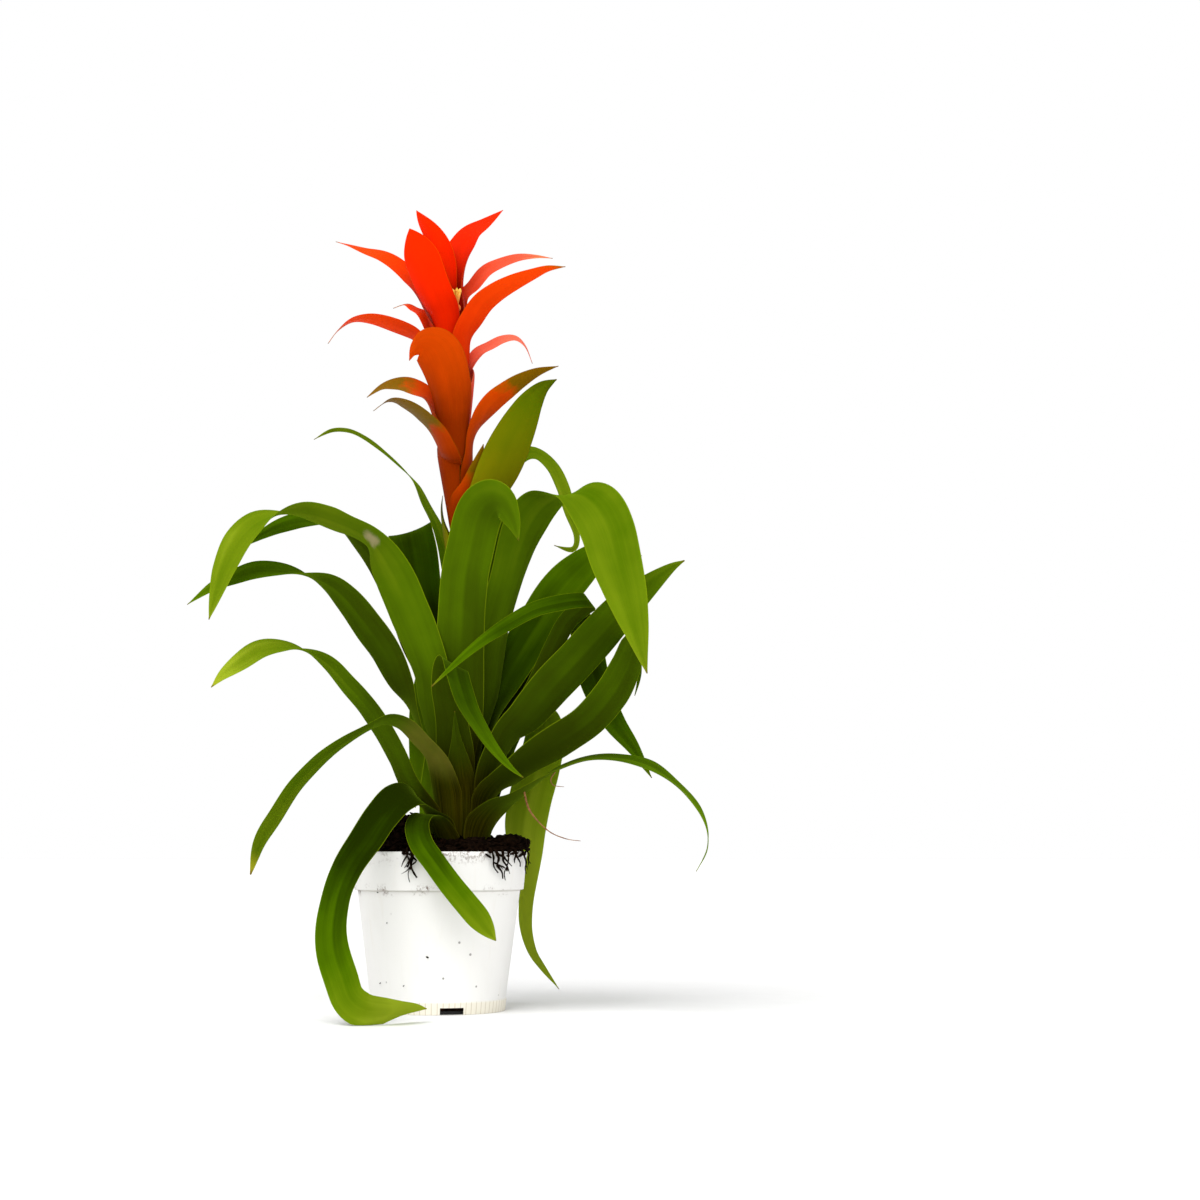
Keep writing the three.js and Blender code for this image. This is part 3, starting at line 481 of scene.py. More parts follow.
# How the roots climb out of the soil and over the rim: turn, radius and height
OVER_RIM = [(-4, 47, 106), (-1, 55, 109), (0, 61, 108.6)]
OFF_WALL, BRANCH_SHARE = 62, 0.55
hanging = []
wander = random.Random(5)
for azimuth, low, girth, swing in HANGING_ROOTS:
    main = [on_ring(azimuth + turn, radius, height) for turn, radius, height in OVER_RIM]
    for share in (0.25, 0.5, 0.75, 1):
        sway = wander.uniform(-1.6, 1.6)
        out = OFF_WALL + wander.uniform(0, 1.4)
        main.append(on_ring(azimuth + swing * share + sway, out, POT_HEIGHT + (low - POT_HEIGHT) * share))
    branch = main[3 + wander.randrange(2)]
    tip = on_ring(azimuth + swing + wander.choice((-5, 5)), OFF_WALL + 0.4, branch[2] - wander.uniform(3, 8))
    knee = [(a + b) / 2 + wander.uniform(-0.9, 0.9) for a, b in zip(branch, tip)]
    hanging += [root(main, girth), root([branch, knee, tip], girth * BRANCH_SHARE)]
joined("hanging_roots", hanging, bark, "soil")


RIM_SECTION, RIM_CHIPS, RIM_CHIP_SIZE = [(54, 108), (60.6, 107.6), (61.6, 104)], 90000, 1.7
RIM_STRETCHES = [(-109, -98), (-55, -12)]


def rim_ground(start, end):
    """A strip along the top of the rim between two azimuths, to strew chips on."""
    turns = [start + (end - start) * i / 8 for i in range(9)]
    return skinned([[on_ring(a, r, z) for a in turns] for r, z in RIM_SECTION], closed=False)


for number, (start, end) in enumerate(RIM_STRETCHES):
    ground = rim_ground(start, end)
    chip_mesh = grown_mesh(
        chip_tree, ground, Chips=RIM_CHIPS, Size=RIM_CHIP_SIZE * MM, Seed=41 + number, Finish=bark)
    piece(f"rim_chips_{number}", chip_mesh, "soil")

BAND_FACE = 58.6
CRUMBS = [
    # Azimuth, height above the pot's foot and size of each crumb of soil on the pot's wall
    (-87, 99, 0.8), (-64, 79, 0.9), (-94, 38, 1.1), (-139, 20, 0.8), (-114, 19, 0.7), (-109, 7, 1.1),
    (-107, 4, 0.9), (-133, 80, 0.8), (-66, 80, 0.7), (-126, 60, 0.6),
]


def ball(subdivisions, shape):
    """A round ball of radius 1, put to its shape and place by a matrix."""
    made = bpy.data.meshes.new("ball")
    together = bmesh.new()
    bmesh.ops.create_icosphere(together, subdivisions=subdivisions, radius=1, matrix=shape)
    together.to_mesh(made)
    return made


crumbs = []
for number, (azimuth, height, size) in enumerate(CRUMBS):
    slope = POT_FOOT + (POT_SHOULDER - POT_FOOT) * height / BAND_BOTTOM
    spot = Vector(on_ring(azimuth, (slope if height < BAND_BOTTOM else BAND_FACE) + 0.1, height)) * MM
    squeeze = Matrix.Diagonal((0.4 * size * MM, size * MM, 0.5 * size * MM, 1))
    tilted = Matrix.Rotation(0.7 * math.sin(5 * number), 4, "X")
    face = Matrix.Translation(spot) @ Matrix.Rotation(math.radians(azimuth), 4, "Z") @ tilted @ squeeze
    crumbs.append(ball(2, face))
joined("pot_crumbs", crumbs, bark, "soil")


# Threads: two dead brown fibres that hang from the lower edge of a leaf beside the pot. They are torn from
# its margin and grow thin towards their ends.
FIBRE_DARK, FIBRE_LIGHT = (0.16, 0.05, 0.012), (0.34, 0.15, 0.04)
fibre, graph, shader, place = material("dead_fibre", Roughness=0.8)
streak = graph.noise(place, 300, 3, 0.6)
finish(graph, shader, graph.painted(FIBRE_DARK, (streak.ramp(0.35, 0.65), FIBRE_LIGHT)), None, streak)
long_thread = root([(59, -30, 147), (63, -31, 134), (75, -33, 121), (87, -34, 115.5), (97, -34, 114)], 0.7)
short_thread = root([(80, -37, 160), (77, -37, 155), (79, -37, 151), (86, -37, 150)], 0.5)
joined("dead_threads", [long_thread, short_thread], fibre, "soil")


# Rosette: strap leaves with smooth edges. Each clasps the stock by a broad sheath, rises, arches over and
# ends in a point. The sheaths hold one another in layers, the lowest leaf outermost.
STRAP_SIZES = "Width Taper Sheath Shell Wrap Blend Thickness Wave Seed Tone Pale Dry".split()
WIDEST_BEND, SPREAD, LEAST_WIDTH, FLOOR_GAP = 55 * MM, 18 * MM, 0.7 * MM, 0.5 * MM
LEAVE_EARLY, SHEATH_LIMIT, TIP_CURVE, TIP_POINT, LIT_END_CURVE = 0.8, 1.6, 1.8, 0.9, 5.0
MARGIN_SHARE, TIP_THINNING, SECTION_CURVE = 0.45, 0.4, 0.6
RIPPLE, RIPPLE_PACE, WAVE_PACE, WAVE_SIDES = 0.06, 22, 26, 3
strap_tree, graph, given = new_tree("strap", Rows="Int", Around="Int", **dict.fromkeys(STRAP_SIZES, "Float"))


def named(name):
    """A value that the mesh or the line carries."""
    return graph.node("GeometryNodeInputNamedAttribute", {"Name": name}, data_type="FLOAT")


def stored(shape, kind="FLOAT", domain="POINT", **values):
    """The shape with values stored on it, for the skins to read."""
    for name, value in values.items():
        shape = graph.node("GeometryNodeStoreNamedAttribute", {
            "Geometry": shape, "Name": name, "Value": value}, data_type=kind, domain=domain)
    return shape


line = graph.node("GeometryNodeMeshToCurve", {"Mesh": given["Geometry"]})
line = graph.node("GeometryNodeCurveSplineType", {"Curve": line}, spline_type="CATMULL_ROM")
line = graph.node("GeometryNodeSetSplineResolution", {"Geometry": line, "Resolution": 24})
line = graph.node("GeometryNodeSetCurveTilt", {"Curve": line, "Tilt": named("roll")})
length = graph.node("GeometryNodeCurveLength", {"Curve": line})
body = graph.node("GeometryNodeMeshCylinder", {
    "Vertices": given["Around"], "Side Segments": given["Rows"], "Radius": 1.0, "Depth": 1.0},
    fill_type="NGON")
parted = graph.node("ShaderNodeSeparateXYZ", {0: graph.node("GeometryNodeInputPosition")})
share = parted["Z"] + 0.5
# Painted light and shade: the stored tone is the piece's given tone, raised towards its end by how much
# light is painted there.
body = stored(body, across=parted["X"], along=share, upper=parted["Y"], dry=given["Dry"],
              tone=given["Tone"] + share ** LIT_END_CURVE * given["Pale"])
across, along, upper = named("across"), named("along"), named("upper")
sample = graph.node(
    "GeometryNodeSampleCurve", {"Curves": line, "Factor": along}, mode="FACTOR", data_type="FLOAT")
point, tangent = sample["Position"], sample["Tangent"]
side = sample["Normal"].scaled(-1.0)
up = tangent.vector("CROSS_PRODUCT", side)
where = graph.node("ShaderNodeSeparateXYZ", {0: point})
rise = (where["Z"] - LEAN_FOOT * MM).maximum(0.0) / (LEAN_SPAN * MM)
offset = where["X"] - (PLANT_X * MM - rise ** LEAN_CURVE * (LEAN * MM))
away = (offset * offset + where["Y"] * where["Y"]) ** 0.5
spread = (away - given["Shell"]).maximum(0.0) / SPREAD
bend = (away * (1 + spread * spread)).minimum(WIDEST_BEND)
run = along * length
leaving = run.ramp(given["Sheath"] * LEAVE_EARLY, given["Sheath"] + given["Blend"])
near_tip = ((along - (1 - given["Taper"])) / given["Taper"]).maximum(0.0)
blade = given["Width"] * (1 - near_tip ** TIP_CURVE).maximum(0.0) ** TIP_POINT
sheath = (given["Wrap"] * away).minimum(given["Width"] * SHEATH_LIMIT)
ripple = graph.node("ShaderNodeTexNoise", {
    "W": run * RIPPLE_PACE + given["Seed"], "Scale": 1.0, "Detail": 1.0}, noise_dimensions="1D")
wide = (sheath + (blade - sheath) * leaving) * (1 - RIPPLE / 2 + ripple * RIPPLE)
angle = across * wide.maximum(LEAST_WIDTH) / 2 / bend
facing = up.scaled(angle.cosine())
facing = facing.vector("SUBTRACT", side.scaled(angle.sine()))
inwards = 1 - across * across
thick = given["Thickness"] * (MARGIN_SHARE + (1 - MARGIN_SHARE) * inwards) * (1 - near_tip * TIP_THINNING)
skin_height = upper.absolute() ** SECTION_CURVE * upper.sign() * thick / 2
spot = graph.node("ShaderNodeCombineXYZ", {
    "X": run * WAVE_PACE + given["Seed"], "Y": across.sign() * WAVE_SIDES})
wave = graph.node(
    "ShaderNodeTexNoise", {"Vector": spot, "Scale": 1.0, "Detail": 1.0}, noise_dimensions="2D")
edge = across * across * across * across
lift = (wave - 0.5) * edge * given["Wave"] * leaving + skin_height
middle = point.vector("ADD", up.scaled(bend))
reach = middle.vector("ADD", facing.scaled(lift - bend))
on_floor = graph.node("ShaderNodeCombineXYZ", {"X": -1.0, "Y": -1.0, "Z": skin_height + FLOOR_GAP})
body = graph.node("GeometryNodeSetPosition", {
    "Geometry": body, "Position": reach.vector("MAXIMUM", on_floor)})
place = graph.node("ShaderNodeCombineXYZ", {"X": across * 0.5 + 0.5, "Y": along})
body = stored(stored(body, leaving=leaving), "FLOAT2", "CORNER", UVMap=place)
end_tree(graph, given, graph.node("GeometryNodeSetShadeSmooth", {"Geometry": body}))


def strap(stations, azimuth, **sizes):
    """A leaf or bract along its stations (x, y, z) in mm, each with a roll in degrees where it has one."""
    places = [Vector(station[:3]) for station in stations]
    steps = [(b - a) * MM for a, b in zip(places, places[1:])]
    rise = steps[0].normalized()
    wanted = Vector(on_ring(azimuth + 90, 1, 0))
    wanted = (wanted - rise * rise.dot(wanted)).normalized()
    drawn = Vector((-rise.y, rise.x, 0)).normalized()
    spin = math.atan2(drawn.cross(wanted).dot(rise), drawn.dot(wanted))
    route = route_of(places)
    rolls = route.attributes.new("roll", "FLOAT", "POINT")
    for i, station in enumerate(stations):
        rolls.data[i].value = math.radians(sum(station[3:])) + spin
    grip = steps[0].length + steps[1].length
    rows = round(sum(step.length for step in steps) / sizes.pop("Row"))
    return grown_mesh(strap_tree, route, Rows=rows, Sheath=grip, **sizes)


def sheath_stations(radius, azimuth, foot, leave):
    """Three stations up a sheath, from its foot to where the blade leaves it, on a shell round the axis."""
    heights = [foot + (leave - foot) * share for share in (0, 0.5, 1)]
    return [tuple(Vector(on_ring(azimuth, radius(z), z)) + Vector((axis_x(z), 0, 0))) for z in heights]


def shown(graph, *names):
    """Values that the strap's mesh carries."""
    return [graph.node("ShaderNodeAttribute", output="Fac", attribute_name=name) for name in names]


# Painted light and shade: these greens run from a shaded dark green to a lit pale green, and each leaf's
# tone picks its place on them.
LEAF_GREENS_SHADE_TO_LIT = [
    (0.0, (0.010, 0.020, 0.0002)), (0.22, (0.026, 0.058, 0.0003)), (0.45, (0.062, 0.128, 0.0005)),
    (0.75, (0.14, 0.21, 0.004)), (1.0, (0.27, 0.345, 0.016))]
UNDER_GREEN, MARGIN_GREEN, BASE_SHADE_GREEN = (0.085, 0.12, 0.003), (0.24, 0.32, 0.006), (0.012, 0.016, 0.0002)
SHEATH_SHADE_DARK, SHEATH_BROWN = (0.014, 0.011, 0.0003), (0.048, 0.040, 0.0006)
SHEATH_GREEN, SHEATH_EDGE = (0.036, 0.040, 0.0005), (0.085, 0.07, 0.003)
DRIED_TAN, TIP_STRAW, SCORCH_BROWN = (0.17, 0.14, 0.02), (0.45, 0.42, 0.02), (0.16, 0.08, 0.02)
DRY_SPOT, SPOT_TAN = (-46, -30, 319), (0.42, 0.33, 0.19)
leaf_skin, graph, shader, place = material(
    "leaf_skin", Specular_IOR_Level=0.0, Sheen_Weight=0.2, Sheen_Roughness=0.4,
    Sheen_Tint=(0.55, 0.9, 0.04, 1.0), Subsurface_Weight=0.05, Subsurface_Scale=2 * MM,
    Subsurface_Radius=(0.5, 1.0, 0.05))
uv = graph.node("ShaderNodeUVMap", uv_map="UVMap")
across, along, upper, leaving, tone, dry = shown(graph, "across", "along", "upper", "leaving", "tone", "dry")
veins = graph.noise(uv, 1, 3, 0.6, (48, 2.2, 1))
bands = graph.noise(uv, 1, 2, 0.5, (2.4, 1.3, 1))
blotch = graph.noise(place, 19, 3, 0.55)
fleck = graph.noise(place, 150, 3, 0.6)
# Painted light and shade: the tone, a lighter end than foot and broad bands that stand partly for streaks of
# sheen set how lit the green looks; veins and blotches vary it at random.
light = tone + (along - 0.5) * 0.6 + (bands - 0.5) * 0.7 + (veins - 0.5) * 0.14 + (blotch - 0.5) * 0.5
outwards = across.absolute()
margin = outwards.ramp(0.94, 1.0) * leaving
# Painted shade: the lower part of each blade is darkened towards its foot for the shade deep in the rosette.
green = graph.painted(
    graph.node("ShaderNodeValToRGB", {0: light}, stops=LEAF_GREENS_SHADE_TO_LIT),
    (upper.ramp(0.05, -0.05) * 0.25, UNDER_GREEN), (margin * 0.5, MARGIN_GREEN),
    ((1 - along.ramp(0.02, 0.36)) * 0.55, BASE_SHADE_GREEN))
# The sheaths are brown olive, and their darkest colour is painted shade for the heart of the rosette.
sheath_brown_and_shade = graph.painted(
    SHEATH_SHADE_DARK, (veins.ramp(0.35, 0.7), SHEATH_BROWN), (bands.ramp(0.45, 0.7) * 0.5, SHEATH_GREEN),
    (outwards.ramp(0.9, 1.0) * 0.5, SHEATH_EDGE))
dried = dry.ramp(0.6, 0.8) * along.ramp(0.42, 0.32) * along.ramp(0.16, 0.24)
tip = (along + dry * 0.04).ramp(0.965, 1.04)
scorched = (along + fleck * 0.02 + dry * 0.01).ramp(0.998, 1.014)
from_spot = place.vector("DISTANCE", tuple(c * MM for c in DRY_SPOT))["Value"]
spot = (from_spot + fleck * 9 * MM).ramp(13 * MM, 7 * MM)
colour = graph.painted(
    green, ((1 - leaving.ramp(0.0, 0.9)) * (0.8 + bands * 0.4), sheath_brown_and_shade),
    (dried * (blotch * 0.7 + fleck * 0.4) * 0.9, DRIED_TAN), (tip * (0.15 + dry), TIP_STRAW),
    (scorched * 0.8, SCORCH_BROWN), (spot * 0.7, SPOT_TAN))
shaded = (1 - leaving) * 0.4 + (1 - along.ramp(0.1, 0.4)) * 0.2
dullness = shaded + 0.36 + veins * 0.12 + margin * 0.1
VEIN_DEPTH = 0.04 * MM
finish(graph, shader, colour, dullness, veins + fleck * 0.6, VEIN_DEPTH)

FIRST_LAYER, LAYER_RISE, LAYER_STEP, STOCK_RADIUS = 100, 4.1, 1.05, 17.7
BULB_HEIGHT, BULB_RADIUS, BULB_STEP = 158, 28, 1.9
LEAVES = [
    # Name, layer, azimuth, height where the blade leaves, width, share of its length that tapers, then its
    # tone, which paints the light and shade on it, how much paler its end is painted where light falls, how
    # dry its tip is, and the blade's route
    ("leaf_over_rim", 1, 236, 115, 16, 0.13, 0.16, 0.45, 0.0, [
        (-2, -27, 129), (-8, -39, 131), (-11, -50, 124), (-7, -64, 112), (3, -73, 99), (14, -79, 85),
        (26, -82, 71), (37, -82, 58), (43, -80, 50)]),
    ("leaf_behind_pot", 2, 40, 124, 31, 0.42, 0.75, 0.9, 0.0, [
        (39, 21, 163), (47, 27, 186), (57, 33, 202), (67, 39, 205, -10), (70, 44, 189, -35),
        (66, 49, 166, -50), (60, 54, 143, -55), (56, 59, 122, -45), (56, 64, 101, -20), (56, 69, 76),
        (56, 71, 55), (61, 70, 37), (69, 67, 25), (81, 62, 10)]),
    ("leaf_floor", 2, 222, 122, 23, 0.2, 0.1, 1.4, 0.0, [
        (-13, -29, 143, -25), (-24, -44, 142, -40), (-34, -57, 130, -38), (-43, -68, 114, -25),
        (-52, -79, 98, -10), (-58, -89, 80), (-60, -100, 61), (-58, -109, 45), (-51, -120, 28),
        (-45, -127, 16, 8), (-36, -130, 10, 16), (-26, -127, 9, 30), (-16, -118, 9, 45), (-8, -106, 9, 48),
        (0, -95, 8, 45)]),
    ("leaf_right_low", 1, 318, 120, 24, 0.35, 0.2, 0.1, 0.1, [
        (40, -22, 135), (53, -27, 143, 10), (65, -32, 151, 20), (81, -37, 161, 30), (102, -42, 168, 30),
        (123, -48, 168, 30), (142, -53, 163, 30), (160, -57, 151, 20), (173, -60, 137, 20),
        (180, -62, 122, 10), (180, -63, 108), (173, -62, 94)]),
    ("leaf_left_low", 3, 193, 128, 20, 0.2, 0.32, 0.6, 0.4, [
        (-20, -8, 151, 30), (-29, -9, 171, 35), (-39, -10, 189, 35), (-50, -11, 205, 35),
        (-63, -12, 220, 30), (-77, -13, 235, 20), (-91, -14, 243, -5), (-106, -15, 246, -35),
        (-122, -17, 244, -55), (-135, -19, 236, -65), (-147, -20, 227, -65), (-155, -21, 218, -60)]),
    ("leaf_right_broad", 3, 332, 138, 27, 0.3, 0.06, 0.1, 0.1, [
        (42, -17, 151, -10), (61, -22, 167, -30), (81, -26, 180, -45), (102, -29, 194, -45),
        (118, -31, 212, -45), (128, -30, 230, -40), (133, -24, 243, -40), (137, -14, 242, -40),
        (138, -5, 231, -40), (134, 2, 214, -40)]),
    ("leaf_dry_base", 4, 235, 146, 18, 0.14, 0.34, 0.1, 0.9, [
        (0, -27, 167), (-11, -34, 181), (-21, -40, 191), (-32, -45, 194), (-43, -50, 189),
        (-60, -57, 178, 8), (-75, -61, 166, 16), (-89, -66, 150, 22), (-102, -70, 129, 24),
        (-112, -72, 111, 24), (-117, -73, 92, 22)]),
    ("leaf_right_back", 5, 32, 150, 27, 0.35, -0.02, 0.1, 0.1, [
        (40, 24, 188, 10), (50, 30, 213, 20), (62, 35, 238, 30), (74, 38, 260, 35), (87, 42, 271, 45),
        (96, 45, 267, 55), (100, 48, 252, 65), (104, 50, 234, 70), (111, 52, 215, 70), (121, 53, 197, 70),
        (134, 54, 180, 65), (147, 54, 159, 55)]),
    ("sheath_old", 5, 272, 150, 14, 0.9, -0.15, 0.0, 0.0, [
        (13, -30, 183), (12, -34, 201)]),
    ("leaf_left_middle", 5, 186, 148, 26, 0.38, 0.18, 0.1, 0.1, [
        (-13, 4, 181), (-21, 3, 206, 12), (-29, 0, 223, 38), (-39, -4, 244, 52), (-51, -7, 261, 52),
        (-65, -10, 279, 42), (-78, -12, 290, 25), (-94, -14, 296, -5), (-110, -15, 299, -30),
        (-127, -16, 299, -48), (-142, -17, 294, -55), (-157, -18, 287, -55), (-173, -19, 275, -50)]),
    ("leaf_right_long", 4, 338, 146, 30, 0.35, 0.2, 0.1, 0.1, [
        (45, -16, 182, -15), (61, -18, 199, -35), (77, -20, 218, -48), (94, -21, 236, -50),
        (111, -21, 255, -50), (128, -21, 274, -50), (146, -22, 290, -45), (159, -23, 300, -40),
        (168, -23, 305, -30)]),
    ("leaf_front_low", 6, 262, 158, 23, 0.35, 0.1, 0.1, 0.1, [
        (9, -29, 199), (7, -33, 215), (8, -38, 228), (12, -48, 231), (16, -58, 219), (22, -65, 202),
        (31, -69, 187), (41, -72, 173), (51, -74, 162), (60, -74, 155)]),
    ("leaf_front_crossing", 6, 352, 158, 13, 0.4, 0.08, 0.1, 0.3, [
        (43, -8, 186, -30), (55, -8, 202, -55), (67, -9, 223, -75), (77, -10, 245, -90),
        (87, -16, 263, -90), (98, -27, 272, -92), (103, -36, 275, -98), (97, -43, 275, -104),
        (84, -47, 273, -108), (66, -50, 268, -110), (49, -55, 258, -112), (32, -60, 246, -112),
        (16, -64, 232, -110), (-1, -67, 215, -100)]),
    ("leaf_left_high", 7, 228, 168, 31, 0.28, 0.48, 0.1, 0.1, [
        (-1, -19, 189), (-4, -22, 209, 5), (-6, -23, 228, 10), (-12, -24, 247, 15), (-20, -25, 267, 20),
        (-29, -26, 288, 20), (-38, -27, 305, 5), (-47, -27, 318, -20), (-60, -26, 326, -28),
        (-74, -24, 332, -25), (-91, -23, 337, -32), (-109, -23, 337, -58), (-125, -25, 331, -88),
        (-137, -28, 318, -102), (-145, -31, 300, -108), (-150, -33, 283, -110), (-155, -34, 263, -110)]),
    ("leaf_right_high", 7, 25, 168, 33, 0.3, 0.25, 0.1, 0.1, [
        (34, 9, 199, 20), (43, 13, 222, 30), (55, 17, 245, 40), (68, 22, 267, 45), (80, 27, 287, 50),
        (94, 31, 304, 50), (110, 35, 318, 40), (126, 38, 323, 20), (140, 40, 317, 10)]),
    ("leaf_left_inner", 8, 180, 168, 24, 0.35, 0.02, 0.05, 0.1, [
        (-7, 0, 189, 8), (-11, -3, 211, 16), (-16, -4, 233, 28), (-24, -2, 255, 38), (-33, 1, 281, 42),
        (-46, 3, 305, 38), (-63, 4, 325, 20), (-79, 4, 334, -15), (-96, 4, 337, -50), (-111, 4, 334, -68),
        (-126, 3, 327, -72), (-141, 2, 317, -70)]),
    ("leaf_front_folded", 8, 268, 170, 33, 0.22, 0.22, 0.0, 0.0, [
        (15, -21, 199), (15, -25, 223), (15, -29, 246), (16, -33, 270), (18, -36, 293), (22, -39, 312),
        (26, -43, 329, -5), (31, -49, 338, -12), (38, -57, 341, -25), (45, -63, 338, -35),
        (50, -66, 330, -40), (53, -68, 323, -40), (56, -69, 312, -40)]),
    ("leaf_left_upright", 9, 128, 172, 33, 0.2, 0.02, 0.0, 0.0, [
        (-1, 20, 212), (-8, 26, 241, -5), (-14, 29, 270, -10), (-19, 31, 295, -15), (-22, 34, 317, -27),
        (-25, 41, 330, -42), (-27, 52, 336, -44), (-30, 63, 330, -34), (-33, 71, 318, -20),
        (-37, 78, 301)]),
    ("leaf_right_arch", 9, 312, 172, 38, 0.28, 0.42, 0.1, 0.1, [
        (28, -8, 197), (32, -8, 217), (36, -9, 241, 10), (40, -11, 265, 15), (47, -14, 289, 15),
        (54, -18, 313, 8), (62, -23, 332), (72, -29, 343, 5), (83, -37, 347, 22), (96, -46, 346, 45),
        (107, -54, 336, 65), (115, -61, 320, 72), (121, -66, 298, 74), (127, -70, 277, 70),
        (132, -73, 258, 65), (136, -75, 242, 50), (141, -75, 223, 35)]),
    ("leaf_right_thin", 10, 50, 176, 20, 0.35, 0.4, 0.1, 0.2, [
        (23, 13, 219), (25, 17, 247), (28, 23, 280, 10), (31, 30, 313, 10), (34, 38, 346, 10),
        (40, 45, 374, 10), (51, 51, 390, 10), (63, 56, 394, 20), (75, 60, 385, 30), (83, 62, 369, 40),
        (88, 62, 351, 40), (93, 60, 334, 30), (90, 56, 324, 20), (77, 50, 326, 10)]),
    ("leaf_left_thin", 11, 138, 178, 14, 0.3, 0.45, 0.1, 0.2, [
        (8, 8, 225), (7, 10, 261), (5, 15, 289), (1, 25, 313), (-6, 34, 336, 5), (-15, 41, 354, 12),
        (-24, 48, 372, 20), (-37, 55, 386, 30), (-51, 62, 399, 35), (-64, 68, 409, 35), (-76, 74, 415, 35),
        (-89, 79, 416, 35), (-102, 82, 410, 30)]),
    ("leaf_back_low", 1, 122, 118, 25, 0.35, 0.22, 0.1, 0.1, [
        (7, 37, 154), (3, 59, 178), (-3, 86, 186), (-9, 114, 171), (-15, 139, 141), (-18, 157, 106),
        (-20, 166, 73)]),
    ("leaf_back_middle", 3, 108, 134, 25, 0.35, 0.22, 0.1, 0.1, [
        (6, 32, 182), (2, 45, 213), (-4, 67, 236), (-12, 94, 237), (-20, 121, 216), (-26, 143, 184),
        (-31, 161, 140)]),
    ("leaf_back_right", 6, 84, 150, 26, 0.35, 0.22, 0.1, 0.1, [
        (18, 30, 195), (19, 42, 245), (21, 62, 292), (25, 91, 312), (28, 121, 301), (30, 147, 268),
        (33, 167, 222)]),
]
for name, layer, azimuth, leave, width, taper, tone, lit_end, dry, route in LEAVES:
    foot = FIRST_LAYER + LAYER_RISE * (layer - 1)

    def shell(z):
        share = min(1, max(0, (z - foot) / (BULB_HEIGHT - foot)))
        grip = STOCK_RADIUS - LAYER_STEP * (layer - 1)
        return grip + (BULB_RADIUS - BULB_STEP * (layer - 1) - grip) * share

    leaf = strap(
        sheath_stations(shell, azimuth, foot, leave) + route, azimuth, Row=2.4 * MM, Around=36,
        Width=width * MM, Taper=taper, Shell=shell(leave) * MM, Wrap=1.42, Blend=40 * MM, Thickness=0.8 * MM,
        Wave=1.6 * MM, Seed=azimuth * 0.37 + layer, Tone=tone, Pale=lit_end, Dry=dry, Finish=leaf_skin)
    piece(name + "_blade", leaf, "leaf", name)


# Stem: the short woody stock that the sheaths grow from, with the green scape that carries the spike. It
# is hidden but for its top.
STEM_DARK, STEM_LIGHT, SCAR_BROWN = (0.09, 0.13, 0.02), (0.2, 0.22, 0.05), (0.12, 0.07, 0.03)
stem_green, graph, shader, place = material("stem_green", Roughness=0.55)
streak = graph.noise(place, 60, 4, 0.6, (6, 6, 0.4))
scar = graph.noise(place, 300, 3, 0.6)
colour = graph.painted(
    STEM_DARK, (streak.ramp(0.35, 0.7), STEM_LIGHT), (scar.ramp(0.6, 0.75) * 0.6, SCAR_BROWN))
finish(graph, shader, colour, None, streak + scar * 0.4)
STOCK_FOOT, STOCK_GIRTH, STOCK_LAYERS, STOCK_LIP = HOLLOW_FLOOR, 16.6, 10, 0.9
SCAPE_FOOT, SCAPE_TOP, SCAPE_RADIUS, SCAPE_RINGS = 158, 492, 4.6, 100
stock_profile = [(0, STOCK_FOOT), (15.2, STOCK_FOOT), (16.4, STOCK_FOOT + 1.5), (STOCK_GIRTH, FIRST_LAYER)]
for i in range(1, STOCK_LAYERS + 1):
    z, radius = FIRST_LAYER + LAYER_RISE * i, STOCK_GIRTH - LAYER_STEP * i
    stock_profile += [(radius + STOCK_LIP, z - STOCK_LIP), (radius, z)]
stock_top = SCAPE_FOOT + 3
stock = turned([*stock_profile, (5.2, SCAPE_FOOT - 3), (SCAPE_RADIUS, stock_top), (0, stock_top)], 64)
stock.transform(Matrix.Translation((PLANT_X * MM, 0, 0)))
scape_heights = [SCAPE_FOOT + (SCAPE_TOP - SCAPE_FOOT) * i / SCAPE_RINGS for i in range(SCAPE_RINGS + 1)]
scape = turned([(0, SCAPE_FOOT), *[(SCAPE_RADIUS, z) for z in scape_heights], (0, SCAPE_TOP)], 32)
for vertex in scape.vertices:
    vertex.co.x += axis_x(vertex.co.z / MM) * MM
joined("stock_and_scape", [stock, scape], stem_green, "stem", "stem")


# Spike: bracts like small leaves, each clasping the scape above the last. The lowest are olive green, the
# middle ones orange and the top ones scarlet.
BRACT_TIP = (0.14, 0.08, 0.01)


